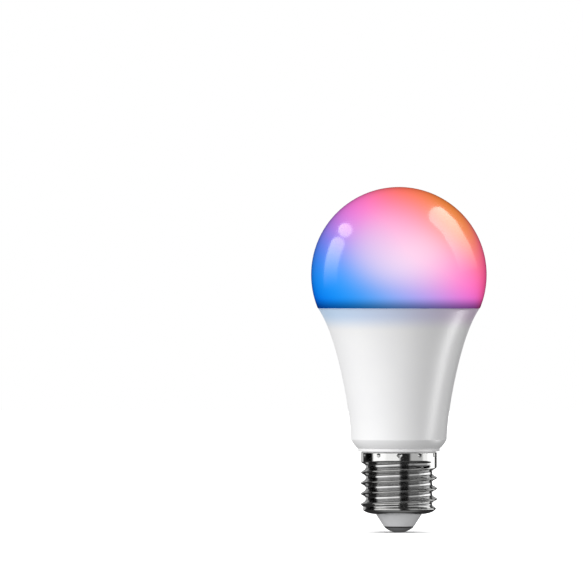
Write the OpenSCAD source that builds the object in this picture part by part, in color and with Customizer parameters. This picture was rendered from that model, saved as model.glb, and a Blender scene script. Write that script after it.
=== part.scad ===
// Smart light bulb with an Edison screw cap, built up from its separate pieces.
// Z is the bulb's axis. The flat tip of the centre contact is at Z = 0 and the globe is on top.
// The driver board stands across the bulb, facing -Y.

/* [Globe] */
// Diameter of the opal globe at its widest
globe_d = 60; // [56:0.5:80]
// Angle below the widest plane at which the globe ends on the housing
seam_angle = 22.5; // [18:0.5:30]
// Wall of the globe
globe_wall = 1.2; // [0.8:0.1:1.8]
// Depth of the globe's neck ring below the seam
globe_neck_h = 2.8; // [2:0.1:3.1]
// Room between the neck ring and the housing at the ring's foot
globe_neck_gap = 0.25; // [0.1:0.05:0.5]

/* [Housing] */
// Height of the seam between globe and housing above the contact tip
seam_h = 76.5; // [68:0.5:110]
// How fast the housing opens out from the waist
flare_power = 1.56; // [1.3:0.02:2]
// How late the last flare under the seam begins
lip_power = 8; // [6:1:12]
// Share of the opening-out that the last flare takes
lip_share = 0.16; // [0:0.02:0.3]
// Step in from the globe to the housing at the seam
seam_step = 0.15; // [0:0.05:0.4]
// Wall of the housing, measured level
housing_wall = 1.4; // [1:0.1:1.8]
// How far the narrow ring at the housing's foot stands out past the cap's collar
ring_lip = 0.95; // [0.5:0.05:2]
// Height of that ring
ring_h = 1; // [0.8:0.1:3]
// Open line between the ring and the cap's rim
rim_gap = 0.3; // [0.1:0.05:0.6]
// How far the shoulder widens from the ring to the waist
shoulder_w = 2.4; // [1:0.1:6]
// Slope of the shoulder at the waist, measured from the axis
shoulder_top_angle = 25; // [10:1:35]
// Slope of the shoulder at the ring, measured from the axis
shoulder_foot_angle = 50; // [40:1:70]
// Wall of the neck inside the cap
neck_wall = 1.2; // [0.9:0.1:1.6]
// Room between the insulator and the open foot of the neck
neck_room = 4.2; // [3.4:0.1:7]
// Thickness of the rails in the neck that hold the driver board
rail_t = 1; // [0.8:0.1:1.5]
// How far the rails reach over the board's edge
rail_reach = 1.2; // [0.8:0.1:1.6]

/* [Screw cap] */
// Height of the shell's top rim above the contact tip
cap_h = 27.3; // [26:0.1:33]
// Diameter over the thread's crests
thread_d = 26.4; // [26.1:0.05:32]
// Rise of the thread in one turn
thread_pitch = 3.629; // [3:0.001:4.4]
// Depth of the thread from crest to root
thread_depth = 1.75; // [1:0.05:2]
// Step in from the thread's crest to the plain collar above it
collar_step = 0.15; // [0:0.05:0.5]
// Height of the plain collar
collar_h = 2.8; // [2.2:0.1:4]
// Wall of the pressed shell
shell_wall = 0.35; // [0.25:0.05:0.5]
// Diameter of the opening in the shell's dished floor
shell_mouth_d = 16; // [14:0.5:18]
// Height of the shell's lowest edge above the contact tip
shell_foot_h = 6.2; // [5:0.1:8]
// Height of the dished floor
dish_h = 2.9; // [2:0.1:4]
// Number of punch marks that lock the shell to the neck
punch_count = 11; // [6:1:16]
// Radius of the punch's ball tip
punch_r = 0.75; // [0.6:0.05:0.9]
// Depth of a punch mark
punch_depth = 0.3; // [0.15:0.05:0.35]

/* [Centre contact] */
// Diameter of the domed contact
contact_d = 10; // [8:0.1:12]
// Height of the dome
contact_h = 2; // [1.5:0.1:2.5]
// Diameter of the flat tip
contact_tip_d = 3; // [2:0.5:4]
// Diameter of the contact's shank
shank_d = 2.2; // [1.6:0.1:2.6]
// How far the shank stands out of the insulator's inner face
shank_stub = 0.8; // [0.4:0.1:1.5]
// Width of the insulator's edge around the contact
insulator_edge = 0.2; // [0:0.05:0.6]
// Height of the insulator's inner face above the shell's lowest edge
insulator_rise = 2.6; // [2.2:0.1:3.2]

/* [Heat sink] */
// Wall of the aluminium cup
cup_wall = 0.8; // [0.6:0.1:1.2]
// Width of the flange at the cup's foot
cup_flange = 2.2; // [1.5:0.1:3]
// Thickness of the spreader plate
plate_t = 1.5; // [1:0.1:2]
// Height of the spreader plate's turned-down skirt
plate_skirt_h = 4; // [3:0.5:6]
// Thickness of the thermal pad
pad_t = 0.2; // [0.1:0.05:0.5]
// Wall of the insulating liner
liner_wall = 0.6; // [0.4:0.1:0.8]
// Height of the bare gap between the liner and the spreader plate's skirt
liner_gap = 0.6; // [0.3:0.1:2]
// Room between pieces that are pressed or laid together
fit_gap = 0.05; // [0.03:0.01:0.1]

/* [LED board] */
// Thickness of the LED board
led_board_t = 1.6; // [1:0.1:2]
// Depth of the LED board's face below the seam
led_board_drop = 3.2; // [3.2:0.1:5]
// Room around the LED board
led_board_gap = 0.4; // [0.2:0.1:1]
// Number of white LEDs, warm and cool in turn
white_led_count = 12; // [8:2:14]
// Distance from the board's edge to the middle of a white LED
white_led_inset = 3; // [2.5:0.1:4]
// Number of colour LEDs
colour_led_count = 6; // [4:2:8]
// Distance from the ring of white LEDs to the ring of colour LEDs
colour_led_inset = 6.8; // [6:0.1:7.5]
// Distance from the axis to each of the board's two screws
screw_offset = 15.5; // [15:0.1:16]
// Diameter of the screws
screw_d = 2.5; // [2:0.1:3]
// Length of a screw under its head
screw_l = 6; // [5:0.5:8]

/* [Radio module] */
// Width of the radio board
radio_w = 16; // [12:0.5:16.5]
// Height of the radio board above the LED board
radio_h = 17; // [14:0.5:20]
// Thickness of the radio board
radio_t = 0.8; // [0.6:0.1:1]
// Distance from the axis to the middle of the radio board
radio_offset = 3; // [2.5:0.1:4]

/* [Driver] */
// Thickness of the driver board
driver_t = 1.2; // [1:0.1:1.6]
// Distance from the axis to the driver board's front face
driver_offset = 3.4; // [3:0.1:4]
// Room between the driver board and the walls around it
driver_gap = 0.3; // [0.2:0.1:1]
// Diameter of the two capacitors
capacitor_d = 8; // [6:0.01:8.5]
// Length of the mains capacitor, which stands in the neck
mains_capacitor_l = 13; // [9:0.5:15]
// Length of the output capacitor
output_capacitor_l = 10; // [8:0.5:12]
// Width and height of the transformer's core
core_w = 10.2; // [8:0.1:10.5]
// Diameter of the wound coil
coil_d = 7; // [6:0.1:7.2]
// Diameter of the filter choke
choke_d = 6; // [4:0.5:6]
// Length of the filter choke
choke_l = 7; // [5:0.5:8]
// Number of pins between the driver board and the LED board
pin_count = 5; // [3:1:6]
// Diameter of the live lead over its insulation
live_lead_d = 1.2; // [0.8:0.1:1.4]
// Diameter of the bare neutral lead
neutral_lead_d = 0.6; // [0.4:0.05:0.7]

/* [Hidden] */
$fn = 72;
overrun = 1;            // how far a cutting shape runs past what it cuts
bite = 0.1;             // how far one shape of a piece sinks into the next
flare_steps = 26;       // straight stretches in a flared outline
fillet_steps = 6;
pin_side = 0.64;
pin_pitch = 2;

// Globe
globe_r = globe_d / 2;
globe_z = seam_h + globe_r * sin(seam_angle);
seam_r = globe_r * cos(seam_angle);

// Cap and the housing's foot, which follows it
crest_r = thread_d / 2;
root_r = crest_r - thread_depth;
collar_r = crest_r - collar_step;
collar_foot_h = cap_h - collar_h;
ring_r = collar_r + ring_lip;
ring_foot_h = cap_h + rim_gap;
ring_top_h = ring_foot_h + ring_h;
ring_bevel = 0.15;
waist_r = ring_r + shoulder_w;
shoulder_bend = shoulder_w / (cos(shoulder_top_angle) - cos(shoulder_foot_angle));
shoulder_h = ring_top_h + shoulder_bend * (sin(shoulder_foot_angle) - sin(shoulder_top_angle));
shell_mouth_r = shell_mouth_d / 2;
insulator_h = shell_foot_h + insulator_rise;
shank_h = insulator_h + shank_stub;
neck_foot_h = insulator_h + neck_room;
seat_r = collar_r - shell_wall - fit_gap;
pilot_r = root_r - shell_wall - 0.15;
neck_bore_r = pilot_r - neck_wall;
floor_h = ring_top_h + 1.9;     // flat floor inside the shoulder

// Housing outline
lip_r = seam_r - seam_step;
function flare_share(z) = max(0, (z - shoulder_h) / (seam_h - shoulder_h));
function flare_shape(t) = (1 - lip_share) * pow(t, flare_power) + lip_share * pow(t, lip_power);
function housing_r(z) = waist_r + (lip_r - waist_r) * flare_shape(flare_share(z));
function flare_line(z0, z1, inset) =
    [for (i = [0 : flare_steps]) let (z = z0 + (z1 - z0) * i / flare_steps) [housing_r(z) - inset, z]];
function reversed(list) = [for (i = [len(list) - 1 : -1 : 0]) list[i]];

// Insets of the shells that stand inside the housing
cup_inset = housing_wall + fit_gap;
skirt_inset = cup_inset + cup_wall + fit_gap;
liner_inset = skirt_inset + fit_gap;
skirt_wall = 1.2;
neck_ring_r = housing_r(seam_h - globe_neck_h) - housing_wall - globe_neck_gap;

// Levels of the stack under the globe
led_face_h = seam_h - led_board_drop;
led_back_h = led_face_h - led_board_t;
plate_top_h = led_back_h - pad_t;
plate_foot_h = plate_top_h - plate_t;
skirt_foot_h = plate_top_h - plate_skirt_h;
cup_foot_h = shoulder_h + 0.2;
liner_foot_h = cup_foot_h + cup_wall + fit_gap;
liner_top_h = skirt_foot_h - liner_gap;
led_board_r = housing_r(led_back_h) - cup_inset - cup_wall - led_board_gap;
white_ring_r = led_board_r - white_led_inset;
colour_ring_r = white_ring_r - colour_led_inset;

// Thread and punch marks
punch_h = cap_h - 0.85;
punch_seat_r = collar_r - punch_depth + punch_r;
crest_h = 15;                   // a crest's height on the +X side
groove_end_drop = 0.7;          // how far below the collar the groove's last point lies
groove_fade = 45;               // angle over which it fades out
rows_per_turn = 8;
columns = 40;

// Driver board
driver_back = driver_offset + driver_t;
driver_foot_h = neck_foot_h + 1.5;
rail_gap = 0.15;
driver_shoulder_h = liner_foot_h + liner_wall + driver_gap;
driver_top_h = plate_foot_h - 1;
tongue_half_w = sqrt(pow(neck_bore_r - driver_gap, 2) - pow(driver_back, 2));
driver_room_r = waist_r - liner_inset - liner_wall - driver_gap;
driver_half_w = sqrt(pow(driver_room_r, 2) - pow(driver_back, 2));
capacitor_y = driver_offset - 0.3 - capacitor_d / 2;
lower_row_h = driver_shoulder_h + 0.8;
upper_row_h = driver_top_h - 4.5;

module ring(r_out, r_in, z0, z1) {
    translate([0, 0, z0])
        difference() {
            cylinder(r = r_out, h = z1 - z0);
            translate([0, 0, -overrun]) cylinder(r = r_in, h = z1 - z0 + 2 * overrun);
        }
}

// A block given by its lowest corner and its highest corner
module block(low, high) {
    translate(low) cube(high - low);
}

// A rectangular hole, centred on a point, cut down through a plate
module window(centre, size, z0, z1) {
    translate([centre.x, centre.y, (z0 + z1) / 2]) cube([size.x, size.y, z1 - z0], center = true);
}

// A round hole through a plate
module hole(diameter, z0, z1) {
    translate([0, 0, z0 - overrun]) cylinder(d = diameter, h = z1 - z0 + 2 * overrun);
}

module at_screws() {
    for (side = [-1, 1])
        translate([side * screw_offset, 0, 0]) children();
}

// ---- Globe and housing

module diffuser_globe() {
    color("orchid") {
        difference() {
            translate([0, 0, globe_z]) sphere(r = globe_r);
            translate([0, 0, globe_z]) sphere(r = globe_r - globe_wall);
            translate([0, 0, globe_z - globe_r - overrun])
                cylinder(r = globe_r + overrun, h = seam_h - globe_z + globe_r + overrun);
        }
        ring(seam_r - globe_wall / 3, neck_ring_r - globe_wall, seam_h, seam_h + globe_wall);
        ring(neck_ring_r, neck_ring_r - globe_wall, seam_h - globe_neck_h, seam_h + globe_wall / 2);
    }
}

// Silicone bead between the globe's neck ring and the housing
module globe_seal() {
    foot_h = seam_h - globe_neck_h * 0.75;
    top_h = seam_h - fit_gap;
    color("whitesmoke")
        rotate_extrude()
            polygon(concat(
                [[neck_ring_r + fit_gap, top_h], [neck_ring_r + fit_gap, foot_h]],
                flare_line(foot_h, top_h, cup_inset)
            ));
}

shoulder_line = [
    for (i = [0 : fillet_steps - 1])
        let (a = shoulder_foot_angle + (shoulder_top_angle - shoulder_foot_angle) * i / fillet_steps)
        [waist_r + shoulder_bend * (cos(a) - cos(shoulder_top_angle)),
         shoulder_h - shoulder_bend * (sin(a) - sin(shoulder_top_angle))]
];

// Two pairs of rails down the neck, with the driver board's edges between them
module board_rails() {
    inner_x = tongue_half_w - rail_reach;
    intersection() {
        translate([0, 0, neck_foot_h]) cylinder(r = neck_bore_r + neck_wall / 2, h = floor_h - neck_foot_h);
        for (side = [-1, 1], y = [driver_offset - rail_gap - rail_t, driver_back + rail_gap])
            block([side > 0 ? inner_x : -pilot_r, y, neck_foot_h],
                  [side > 0 ? pilot_r : -inner_x, y + rail_t, floor_h]);
    }
}

module housing() {
    groove_r = seat_r - punch_depth - fit_gap;
    lead_slot = neutral_lead_d + 0.4;
    color("white") {
        difference() {
            rotate_extrude()
                polygon(concat(
                    [
                        [neck_bore_r, neck_foot_h], [pilot_r, neck_foot_h], [pilot_r, collar_foot_h],
                        [seat_r, collar_foot_h], [seat_r, punch_h - punch_r], [groove_r, punch_h - punch_r],
                        [groove_r, punch_h + punch_r], [seat_r, punch_h + punch_r], [seat_r, ring_foot_h],
                        [ring_r - ring_bevel, ring_foot_h], [ring_r, ring_foot_h + ring_bevel]
                    ],
                    shoulder_line,
                    flare_line(shoulder_h, seam_h, 0),
                    reversed(flare_line(shoulder_h, seam_h, housing_wall)),
                    [[ring_r - neck_wall, floor_h], [neck_bore_r, floor_h]]
                ));
            // slot down the neck for the bare neutral lead
            block([pilot_r - lead_slot * 0.75, -lead_slot / 2, neck_foot_h - overrun],
                  [pilot_r + overrun, lead_slot / 2, collar_foot_h - shell_wall]);
        }
        board_rails();
    }
}

// ---- Heat sink

module heat_sink_cup() {
    flange_r = housing_r(cup_foot_h) - cup_inset - cup_flange;
    color("silver")
        rotate_extrude()
            polygon(concat(
                [[flange_r, cup_foot_h]],
                flare_line(cup_foot_h, plate_top_h, cup_inset),
                reversed(flare_line(cup_foot_h + cup_wall, plate_top_h, cup_inset + cup_wall)),
                [[flange_r, cup_foot_h + cup_wall]]
            ));
}

window_size = [radio_w + 2, driver_offset + radio_offset + radio_t / 2 + 3.6];
window_centre = [0, driver_offset + 0.8 - window_size.y / 2];

module spreader_plate() {
    color("lightgray")
        difference() {
            rotate_extrude()
                polygon(concat(
                    [[0, plate_foot_h]],
                    reversed(flare_line(skirt_foot_h, plate_foot_h, skirt_inset + skirt_wall)),
                    flare_line(skirt_foot_h, plate_top_h, skirt_inset),
                    [[0, plate_top_h]]
                ));
            window(window_centre, window_size, plate_foot_h - overrun, plate_top_h + overrun);
            at_screws()
                hole(screw_d + fit_gap, plate_foot_h, plate_top_h);
        }
}

module thermal_pad() {
    color("gainsboro")
        difference() {
            translate([0, 0, plate_top_h]) cylinder(r = led_board_r - 1.5, h = pad_t);
            window(window_centre, window_size, plate_top_h - overrun, led_back_h + overrun);
            at_screws()
                hole(screw_d + 1.5, plate_top_h, led_back_h);
        }
}

// Thin insulating cup between the aluminium and the driver
module insulating_liner() {
    opening_r = neck_bore_r + 0.5;
    color("ivory")
        rotate_extrude()
            polygon(concat(
                [[opening_r, liner_foot_h]],
                flare_line(liner_foot_h, liner_top_h, liner_inset),
                reversed(flare_line(liner_foot_h + liner_wall, liner_top_h, liner_inset + liner_wall)),
                [[opening_r, liner_foot_h + liner_wall]]
            ));
}

// ---- LED board

header_y = driver_offset - 1.25;
header_w = pin_count * pin_pitch + 0.6;
notch_r = 1.5;

module led_board() {
    color("whitesmoke")
        difference() {
            translate([0, 0, led_back_h]) cylinder(r = led_board_r, h = led_board_t);
            window([0, header_y], [header_w, 1.6], led_back_h - overrun, led_face_h + overrun);
            window([0, -radio_offset], [radio_w + 0.4, radio_t + 0.3],
                   led_back_h - overrun, led_face_h + overrun);
            at_screws()
                hole(screw_d + 0.6, led_back_h, led_face_h);
            for (side = [-1, 1])
                translate([0, side * led_board_r, 0]) hole(2 * notch_r, led_back_h, led_face_h);
        }
}

white_led = [2.8, 3.5, 0.8];
colour_led = [5, 5, 1.6];

// A surface-mounted LED package with its cone-shaped well, standing on the board's face
module led_package(size, well_d) {
    well_depth = size.z * 0.5;
    translate([0, 0, led_face_h])
        difference() {
            translate([-size.x / 2, -size.y / 2, 0]) cube(size);
            translate([0, 0, size.z - well_depth])
                cylinder(d1 = well_d * 0.8, d2 = well_d, h = well_depth);
        }
}

module white_leds(first) {
    for (i = [first : 2 : white_led_count - 1])
        rotate([0, 0, 360 * (i + 0.5) / white_led_count])
            translate([white_ring_r, 0, 0]) led_package(white_led, 2.3);
}

module warm_white_leds() {
    color("khaki") white_leds(0);
}

module cool_white_leds() {
    color("lightyellow") white_leds(1);
}

module colour_leds() {
    color("white")
        for (i = [0 : colour_led_count - 1])
            rotate([0, 0, 360 * (i + 0.5) / colour_led_count])
                translate([colour_ring_r, 0, 0]) led_package(colour_led, 4);
}

module board_screws() {
    head_d = screw_d + 2.4;
    head_h = 1.6;
    color("silver")
        at_screws()
            difference() {
                union() {
                    translate([0, 0, led_face_h - screw_l]) cylinder(d = screw_d, h = screw_l + bite);
                    translate([0, 0, led_face_h]) cylinder(d = head_d, h = head_h * 0.55);
                    translate([0, 0, led_face_h + head_h * 0.55])
                        cylinder(d1 = head_d, d2 = head_d - 1.4, h = head_h * 0.45);
                }
                for (turn = [0, 90])
                    rotate([0, 0, turn + 20])
                        window([0, 0], [head_d * 0.56, 0.5],
                               led_face_h + head_h * 0.35, led_face_h + head_h + overrun);
            }
}

// ---- Radio module

radio_foot_h = led_face_h + 0.3;
radio_top_h = led_face_h + radio_h;
radio_face = -radio_offset - radio_t / 2;
shield_t = 1.8;

module radio_board() {
    tab_w = 5;
    tab_l = 2.2;
    color("darkgreen") {
        block([-radio_w / 2, radio_face, radio_foot_h], [radio_w / 2, radio_face + radio_t, radio_top_h]);
        for (side = [-1, 1])
            block([side * radio_w / 4 - tab_w / 2, radio_face, radio_foot_h - tab_l],
                  [side * radio_w / 4 + tab_w / 2, radio_face + radio_t, radio_foot_h + bite]);
    }
}

module radio_shield() {
    can_wall = 0.25;
    low = [-radio_w / 2 + 2.5, radio_face - shield_t, radio_foot_h + 1];
    high = [radio_w / 2 - 2.5, radio_face, radio_top_h - 6.8];
    color("silver")
        difference() {
            block(low, high);
            block([low.x + can_wall, low.y + can_wall, low.z + can_wall],
                  [high.x - can_wall, high.y + overrun, high.z - can_wall]);
        }
}

// Folded copper aerial on the top of the radio board
module radio_antenna() {
    line_w = 0.6;
    line_t = 0.1;
    reach = 4.2;
    legs = 6;
    step = (radio_w - 3 - line_w) / (legs - 1);
    x0 = -radio_w / 2 + 1.5;
    foot_h = radio_top_h - 0.8 - reach;
    color("peru") {
        for (i = [0 : legs - 1])
            block([x0 + i * step, radio_face - line_t, foot_h - (i == 0 ? 1.2 : 0)],
                  [x0 + i * step + line_w, radio_face, foot_h + reach]);
        for (i = [0 : legs - 2])
            let (z = i % 2 == 0 ? foot_h + reach - line_w : foot_h)
            block([x0 + i * step, radio_face - line_t, z],
                  [x0 + (i + 1) * step + line_w, radio_face, z + line_w]);
    }
}

// ---- Pins between the two boards

pin_clearance = 0.04;
header_low = [-header_w / 2, header_y - 1.2, driver_top_h - 3.2];
header_high = [header_w / 2, driver_offset, driver_top_h - 0.7];

module at_pins() {
    for (i = [0 : pin_count - 1])
        translate([(i - (pin_count - 1) / 2) * pin_pitch, header_y, 0]) children();
}

module header_block() {
    socket = pin_side + 2 * pin_clearance;
    color("dimgray")
        difference() {
            block(header_low, header_high);
            at_pins()
                window([0, 0], [socket, socket], header_low.z - overrun, header_high.z + overrun);
        }
}

module header_pins() {
    color("gold")
        at_pins()
            window([0, 0], [pin_side, pin_side], header_low.z - 0.8, led_face_h + 0.9);
}

// ---- Driver board and what it carries

module driver_board() {
    color("seagreen") {
        block([-driver_half_w, driver_offset, driver_shoulder_h],
              [driver_half_w, driver_back, driver_top_h]);
        block([-tongue_half_w, driver_offset, driver_foot_h],
              [tongue_half_w, driver_back, driver_shoulder_h + bite]);
    }
}

// A can with a rolled groove near its foot and two leads that bend back into the board
module capacitor(x, z0, length) {
    groove_h = 1.6;
    can_r = capacitor_d / 2;
    lead_r = 0.3;
    lead_z = z0 + length + 0.8;
    translate([x, capacitor_y, 0]) {
        rotate_extrude()
            polygon([
                [0, z0], [can_r - 0.5, z0], [can_r, z0 + 0.5],
                [can_r, z0 + length - groove_h - 0.6], [can_r - 0.35, z0 + length - groove_h],
                [can_r, z0 + length - groove_h + 0.6], [can_r, z0 + length - 0.4],
                [can_r - 0.4, z0 + length], [0, z0 + length]
            ]);
        for (side = [-1, 1])
            translate([side * capacitor_d / 5, 0, 0]) {
                translate([0, 0, z0 + length - bite]) cylinder(r = lead_r, h = 0.8 + bite + lead_r);
                translate([0, 0, lead_z]) rotate([-90, 0, 0])
                    cylinder(r = lead_r, h = driver_offset - capacitor_y);
            }
    }
}

module mains_capacitor() {
    color("midnightblue") capacitor(0, driver_foot_h + 1, mains_capacitor_l);
}

module output_capacitor() {
    color("darkslategray")
        capacitor(-driver_half_w + capacitor_d / 2 + 1.6, lower_row_h, output_capacitor_l);
}

// Transformer: a ferrite frame with a round middle leg through a bobbin, standing off the board on pins
coil_y = driver_offset - 0.4 - coil_d / 2;
core_x = driver_half_w - core_w / 2 - 0.9;
core_z = lower_row_h + core_w / 2;
core_t = 5;
leg_t = 1.3;
yoke_t = 1.7;
middle_leg_r = 1.3;
bobbin_wall = 0.4;
coil_room = core_w - 2 * yoke_t;

module transformer_core() {
    color("#3a3a3c")
        translate([core_x, coil_y, core_z]) {
            difference() {
                cube([core_w, core_t, core_w], center = true);
                cube([core_w - 2 * leg_t, 2 * core_t, coil_room], center = true);
            }
            translate([0, 0, -coil_room / 2 - bite]) cylinder(r = middle_leg_r, h = coil_room + 2 * bite);
        }
}

module transformer_bobbin() {
    spool_r = middle_leg_r + fit_gap + bobbin_wall;
    flange_r = coil_d / 2;
    reach = coil_room / 2 - fit_gap;
    color("burlywood")
        translate([core_x, coil_y, core_z])
            difference() {
                union() {
                    translate([0, 0, -reach]) cylinder(r = spool_r, h = 2 * reach);
                    for (z = [-reach, reach - bobbin_wall])
                        translate([0, 0, z]) cylinder(r = flange_r, h = bobbin_wall);
                    for (side = [-1, 1])
                        block([side * 2 - 0.3, 2, -reach],
                              [side * 2 + 0.3, driver_offset - coil_y, -reach + bobbin_wall]);
                }
                translate([0, 0, -core_w]) cylinder(r = middle_leg_r + fit_gap, h = 2 * core_w);
            }
}

module transformer_winding() {
    reach = coil_room / 2 - fit_gap - bobbin_wall - 0.02;
    color("goldenrod")
        translate([core_x, coil_y, core_z])
            ring(coil_d / 2 - 0.3, middle_leg_r + fit_gap + bobbin_wall + 0.02, -reach, reach);
}

// Filter choke: a drum core with its coil, beside the film capacitor
choke_x = driver_half_w - choke_d / 2 - 1.8;
choke_y = driver_offset - 0.3 - choke_d / 2;
choke_z = upper_row_h - choke_l;
drum_flange = 1;
drum_r = choke_d / 5;

module filter_choke() {
    color("#444448")
        translate([choke_x, choke_y, choke_z]) {
            cylinder(d = choke_d, h = drum_flange);
            cylinder(r = drum_r, h = choke_l);
            translate([0, 0, choke_l - drum_flange]) cylinder(d = choke_d, h = drum_flange);
            for (z = [drum_flange / 2, choke_l - drum_flange / 2])
                translate([0, 0, z]) rotate([-90, 0, 0]) cylinder(r = 0.3, h = driver_offset - choke_y);
        }
}

module choke_winding() {
    color("chocolate")
        translate([choke_x, choke_y, choke_z])
            ring(choke_d / 2 - 0.3, drum_r + 0.02, drum_flange + 0.02, choke_l - drum_flange - 0.02);
}

module film_capacitor() {
    size = [9, 4.5, 7];
    x = -driver_half_w + 1.2;
    color("firebrick") {
        block([x, driver_offset - 0.2 - size.y, upper_row_h - size.z],
              [x + size.x, driver_offset - 0.2, upper_row_h]);
        for (i = [0.2, 0.8])
            translate([x + size.x * i, driver_offset - 0.3, upper_row_h - size.z * 0.4])
                rotate([-90, 0, 0]) cylinder(r = 0.3, h = 0.3);
    }
}

// Fusible resistor: a wire-ended body that lies along the board's tongue
module fusible_resistor() {
    body_r = 1.4;
    body_l = 7;
    x = -tongue_half_w + rail_reach + body_r + 0.2;
    y = driver_offset - body_r - 0.2;
    foot_h = driver_foot_h + 4;
    color("lightslategray")
        translate([x, y, foot_h]) {
            cylinder(r = body_r, h = body_l);
            for (z = [-0.8, body_l + 0.5])
                translate([0, 0, z]) rotate([-90, 0, 0]) cylinder(r = 0.25, h = driver_offset - y);
            translate([0, 0, -1]) cylinder(r = 0.25, h = body_l + 1.7);
        }
}

// A chip on the back of the board, with legs along both sides
module chip(centre, size, legs, leg_pitch) {
    leg_w = 0.45;
    leg_reach = 1;
    translate([centre.x, driver_back, centre.y]) {
        block([-size.x / 2, 0.1, -size.z / 2], [size.x / 2, size.y, size.z / 2]);
        for (turn = [0, 180], i = [0 : legs - 1])
            rotate([0, turn, 0])
                translate([size.x / 2, 0, (i - (legs - 1) / 2) * leg_pitch - leg_w / 2]) {
                    cube([leg_reach, 0.2, leg_w]);
                    translate([-bite, 0, 0]) cube([0.3 + bite, size.y * 0.6, leg_w]);
                }
    }
}

module bridge_rectifier() {
    color("#1f1f22") chip([-4, driver_shoulder_h + 4], [4, 1.6, 4.7], 2, 2.5);
}

module power_chip() {
    color("#1f1f22") chip([4, driver_shoulder_h + 5], [3.9, 1.5, 4.9], 4, 1.27);
}

module dimming_chip() {
    color("#1f1f22") chip([0, driver_top_h - 6], [3.9, 1.5, 4.9], 5, 1);
}

module chip_resistors() {
    size = [2, 0.55, 1.25];
    rows = [driver_shoulder_h + 10, driver_top_h - 12];
    color("#2a2a2e")
        for (z = rows, i = [-2 : 2])
            translate([i * 3.4 - size.x / 2, driver_back, z]) cube(size);
}

// ---- Leads to the cap

function unit(v) = v / norm(v);

// A smooth line through the points, with n stretches between each two
function smooth_line(p, n) = concat(
    [for (i = [0 : len(p) - 2], k = [0 : n - 1])
        let (a = p[max(i - 1, 0)], b = p[i], c = p[i + 1], d = p[min(i + 2, len(p) - 1)], t = k / n)
        b + t * (c - a) / 2 + t * t * (a - 2.5 * b + 2 * c - d / 2)
            + t * t * t * (1.5 * b - 1.5 * c + (d - a) / 2)],
    [p[len(p) - 1]]
);

// A round lead along a line that never runs parallel to Y
module lead(line, diameter, sides = 10) {
    last = len(line) - 1;
    rings = [for (i = [0 : last])
        let (
            along = unit(line[min(i + 1, last)] - line[max(i - 1, 0)]),
            u = unit(cross(along, [0, 1, 0])),
            v = cross(along, u)
        )
        for (k = [0 : sides - 1])
            line[i] + diameter / 2 * (cos(360 * k / sides) * u + sin(360 * k / sides) * v)];
    walls = [for (i = [0 : last - 1], k = [0 : sides - 1])
        let (n = (k + 1) % sides)
        [i * sides + k, (i + 1) * sides + k, (i + 1) * sides + n, i * sides + n]];
    start = [for (k = [0 : sides - 1]) k];
    end = [for (k = [0 : sides - 1]) last * sides + sides - 1 - k];
    polyhedron(rings, concat(walls, [start, end]));
}

lead_start_h = driver_foot_h + 2;
lead_x = tongue_half_w - 3;

module live_lead() {
    y = driver_offset - live_lead_d / 2 - 0.02;
    color("firebrick")
        lead(smooth_line([
            [-lead_x, y, lead_start_h], [-lead_x, y, driver_foot_h],
            [-lead_x * 0.9, y * 0.85, neck_foot_h - 0.6],
            [-lead_x * 0.4, y * 0.4, shank_h + 1.3], [-0.2, 0.05, shank_h + 0.9], [0, 0, shank_h + 0.1]
        ], 4), live_lead_d);
}

module neutral_lead() {
    y = driver_offset - neutral_lead_d / 2 - 0.02;
    rise_x = pilot_r - neutral_lead_d / 2 + 0.05;
    color("silver")
        lead(smooth_line([
            [lead_x, y, lead_start_h], [lead_x, y, driver_foot_h],
            [lead_x + 0.6, y * 0.8, neck_foot_h - 0.6],
            [(lead_x + rise_x) / 2, y * 0.4, neck_foot_h - 1.3], [rise_x - 0.9, 0.1, neck_foot_h - 1.1],
            [rise_x, 0, neck_foot_h + 0.2], [rise_x, 0, neck_foot_h + 3], [rise_x, 0, collar_foot_h - 3]
        ], 4), neutral_lead_d, 8);
}

// ---- Cap

function ease(low, high, x) = let (t = max(0, min(1, (x - low) / (high - low)))) t * t * (3 - 2 * t);

// Share of the thread's depth at an angle round the cap and a height. The groove climbs with the angle.
// It runs out under the collar at the top, and into the dish at the foot.
groove_end = 360 * ((collar_foot_h - groove_end_drop - crest_h) / thread_pitch - 0.5);
function groove_share(angle, z) =
    let (
        turns = (z - crest_h) / thread_pitch - angle / 360,
        climbed = angle + 360 * floor(turns),
        rise = (1 - cos(360 * turns)) / 2,
        wave = rise * (2 - rise),       // narrow crests and wide roots
        run_out = 1 - ease(groove_end - groove_fade, groove_end, climbed),
        above_dish = ease(shell_foot_h + 0.35 * dish_h, shell_foot_h + dish_h + 0.4, z),
        below_collar = 1 - ease(thread_top_h - 0.6, thread_top_h, z)
    )
    wave * run_out * above_dish * below_collar;

dish_line = [
    for (i = [0 : fillet_steps])
        let (a = 90 * i / fillet_steps)
        [shell_mouth_r + (crest_r - shell_mouth_r) * sin(a), shell_foot_h + dish_h * (1 - cos(a))]
];
thread_foot_h = shell_foot_h + dish_h;
thread_top_h = collar_foot_h - 0.15;
thread_rows = round((thread_top_h - thread_foot_h) / thread_pitch * rows_per_turn);
function step_in(z) =
    collar_step * ease(thread_top_h - 2 * thread_pitch, thread_top_h - thread_pitch / 2, z);
thread_line = [
    for (i = [1 : thread_rows])
        let (z = thread_foot_h + (thread_top_h - thread_foot_h) * i / thread_rows)
        [crest_r - step_in(z), z]
];
// The last rows slip inside the collar's wall, so that the two join
tuck = shell_wall * 0.2;
tucked_line = [[collar_r - tuck, collar_foot_h - 0.02], [collar_r - tuck, collar_foot_h + 0.6]];
shell_line = concat(dish_line, thread_line, tucked_line);

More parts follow.
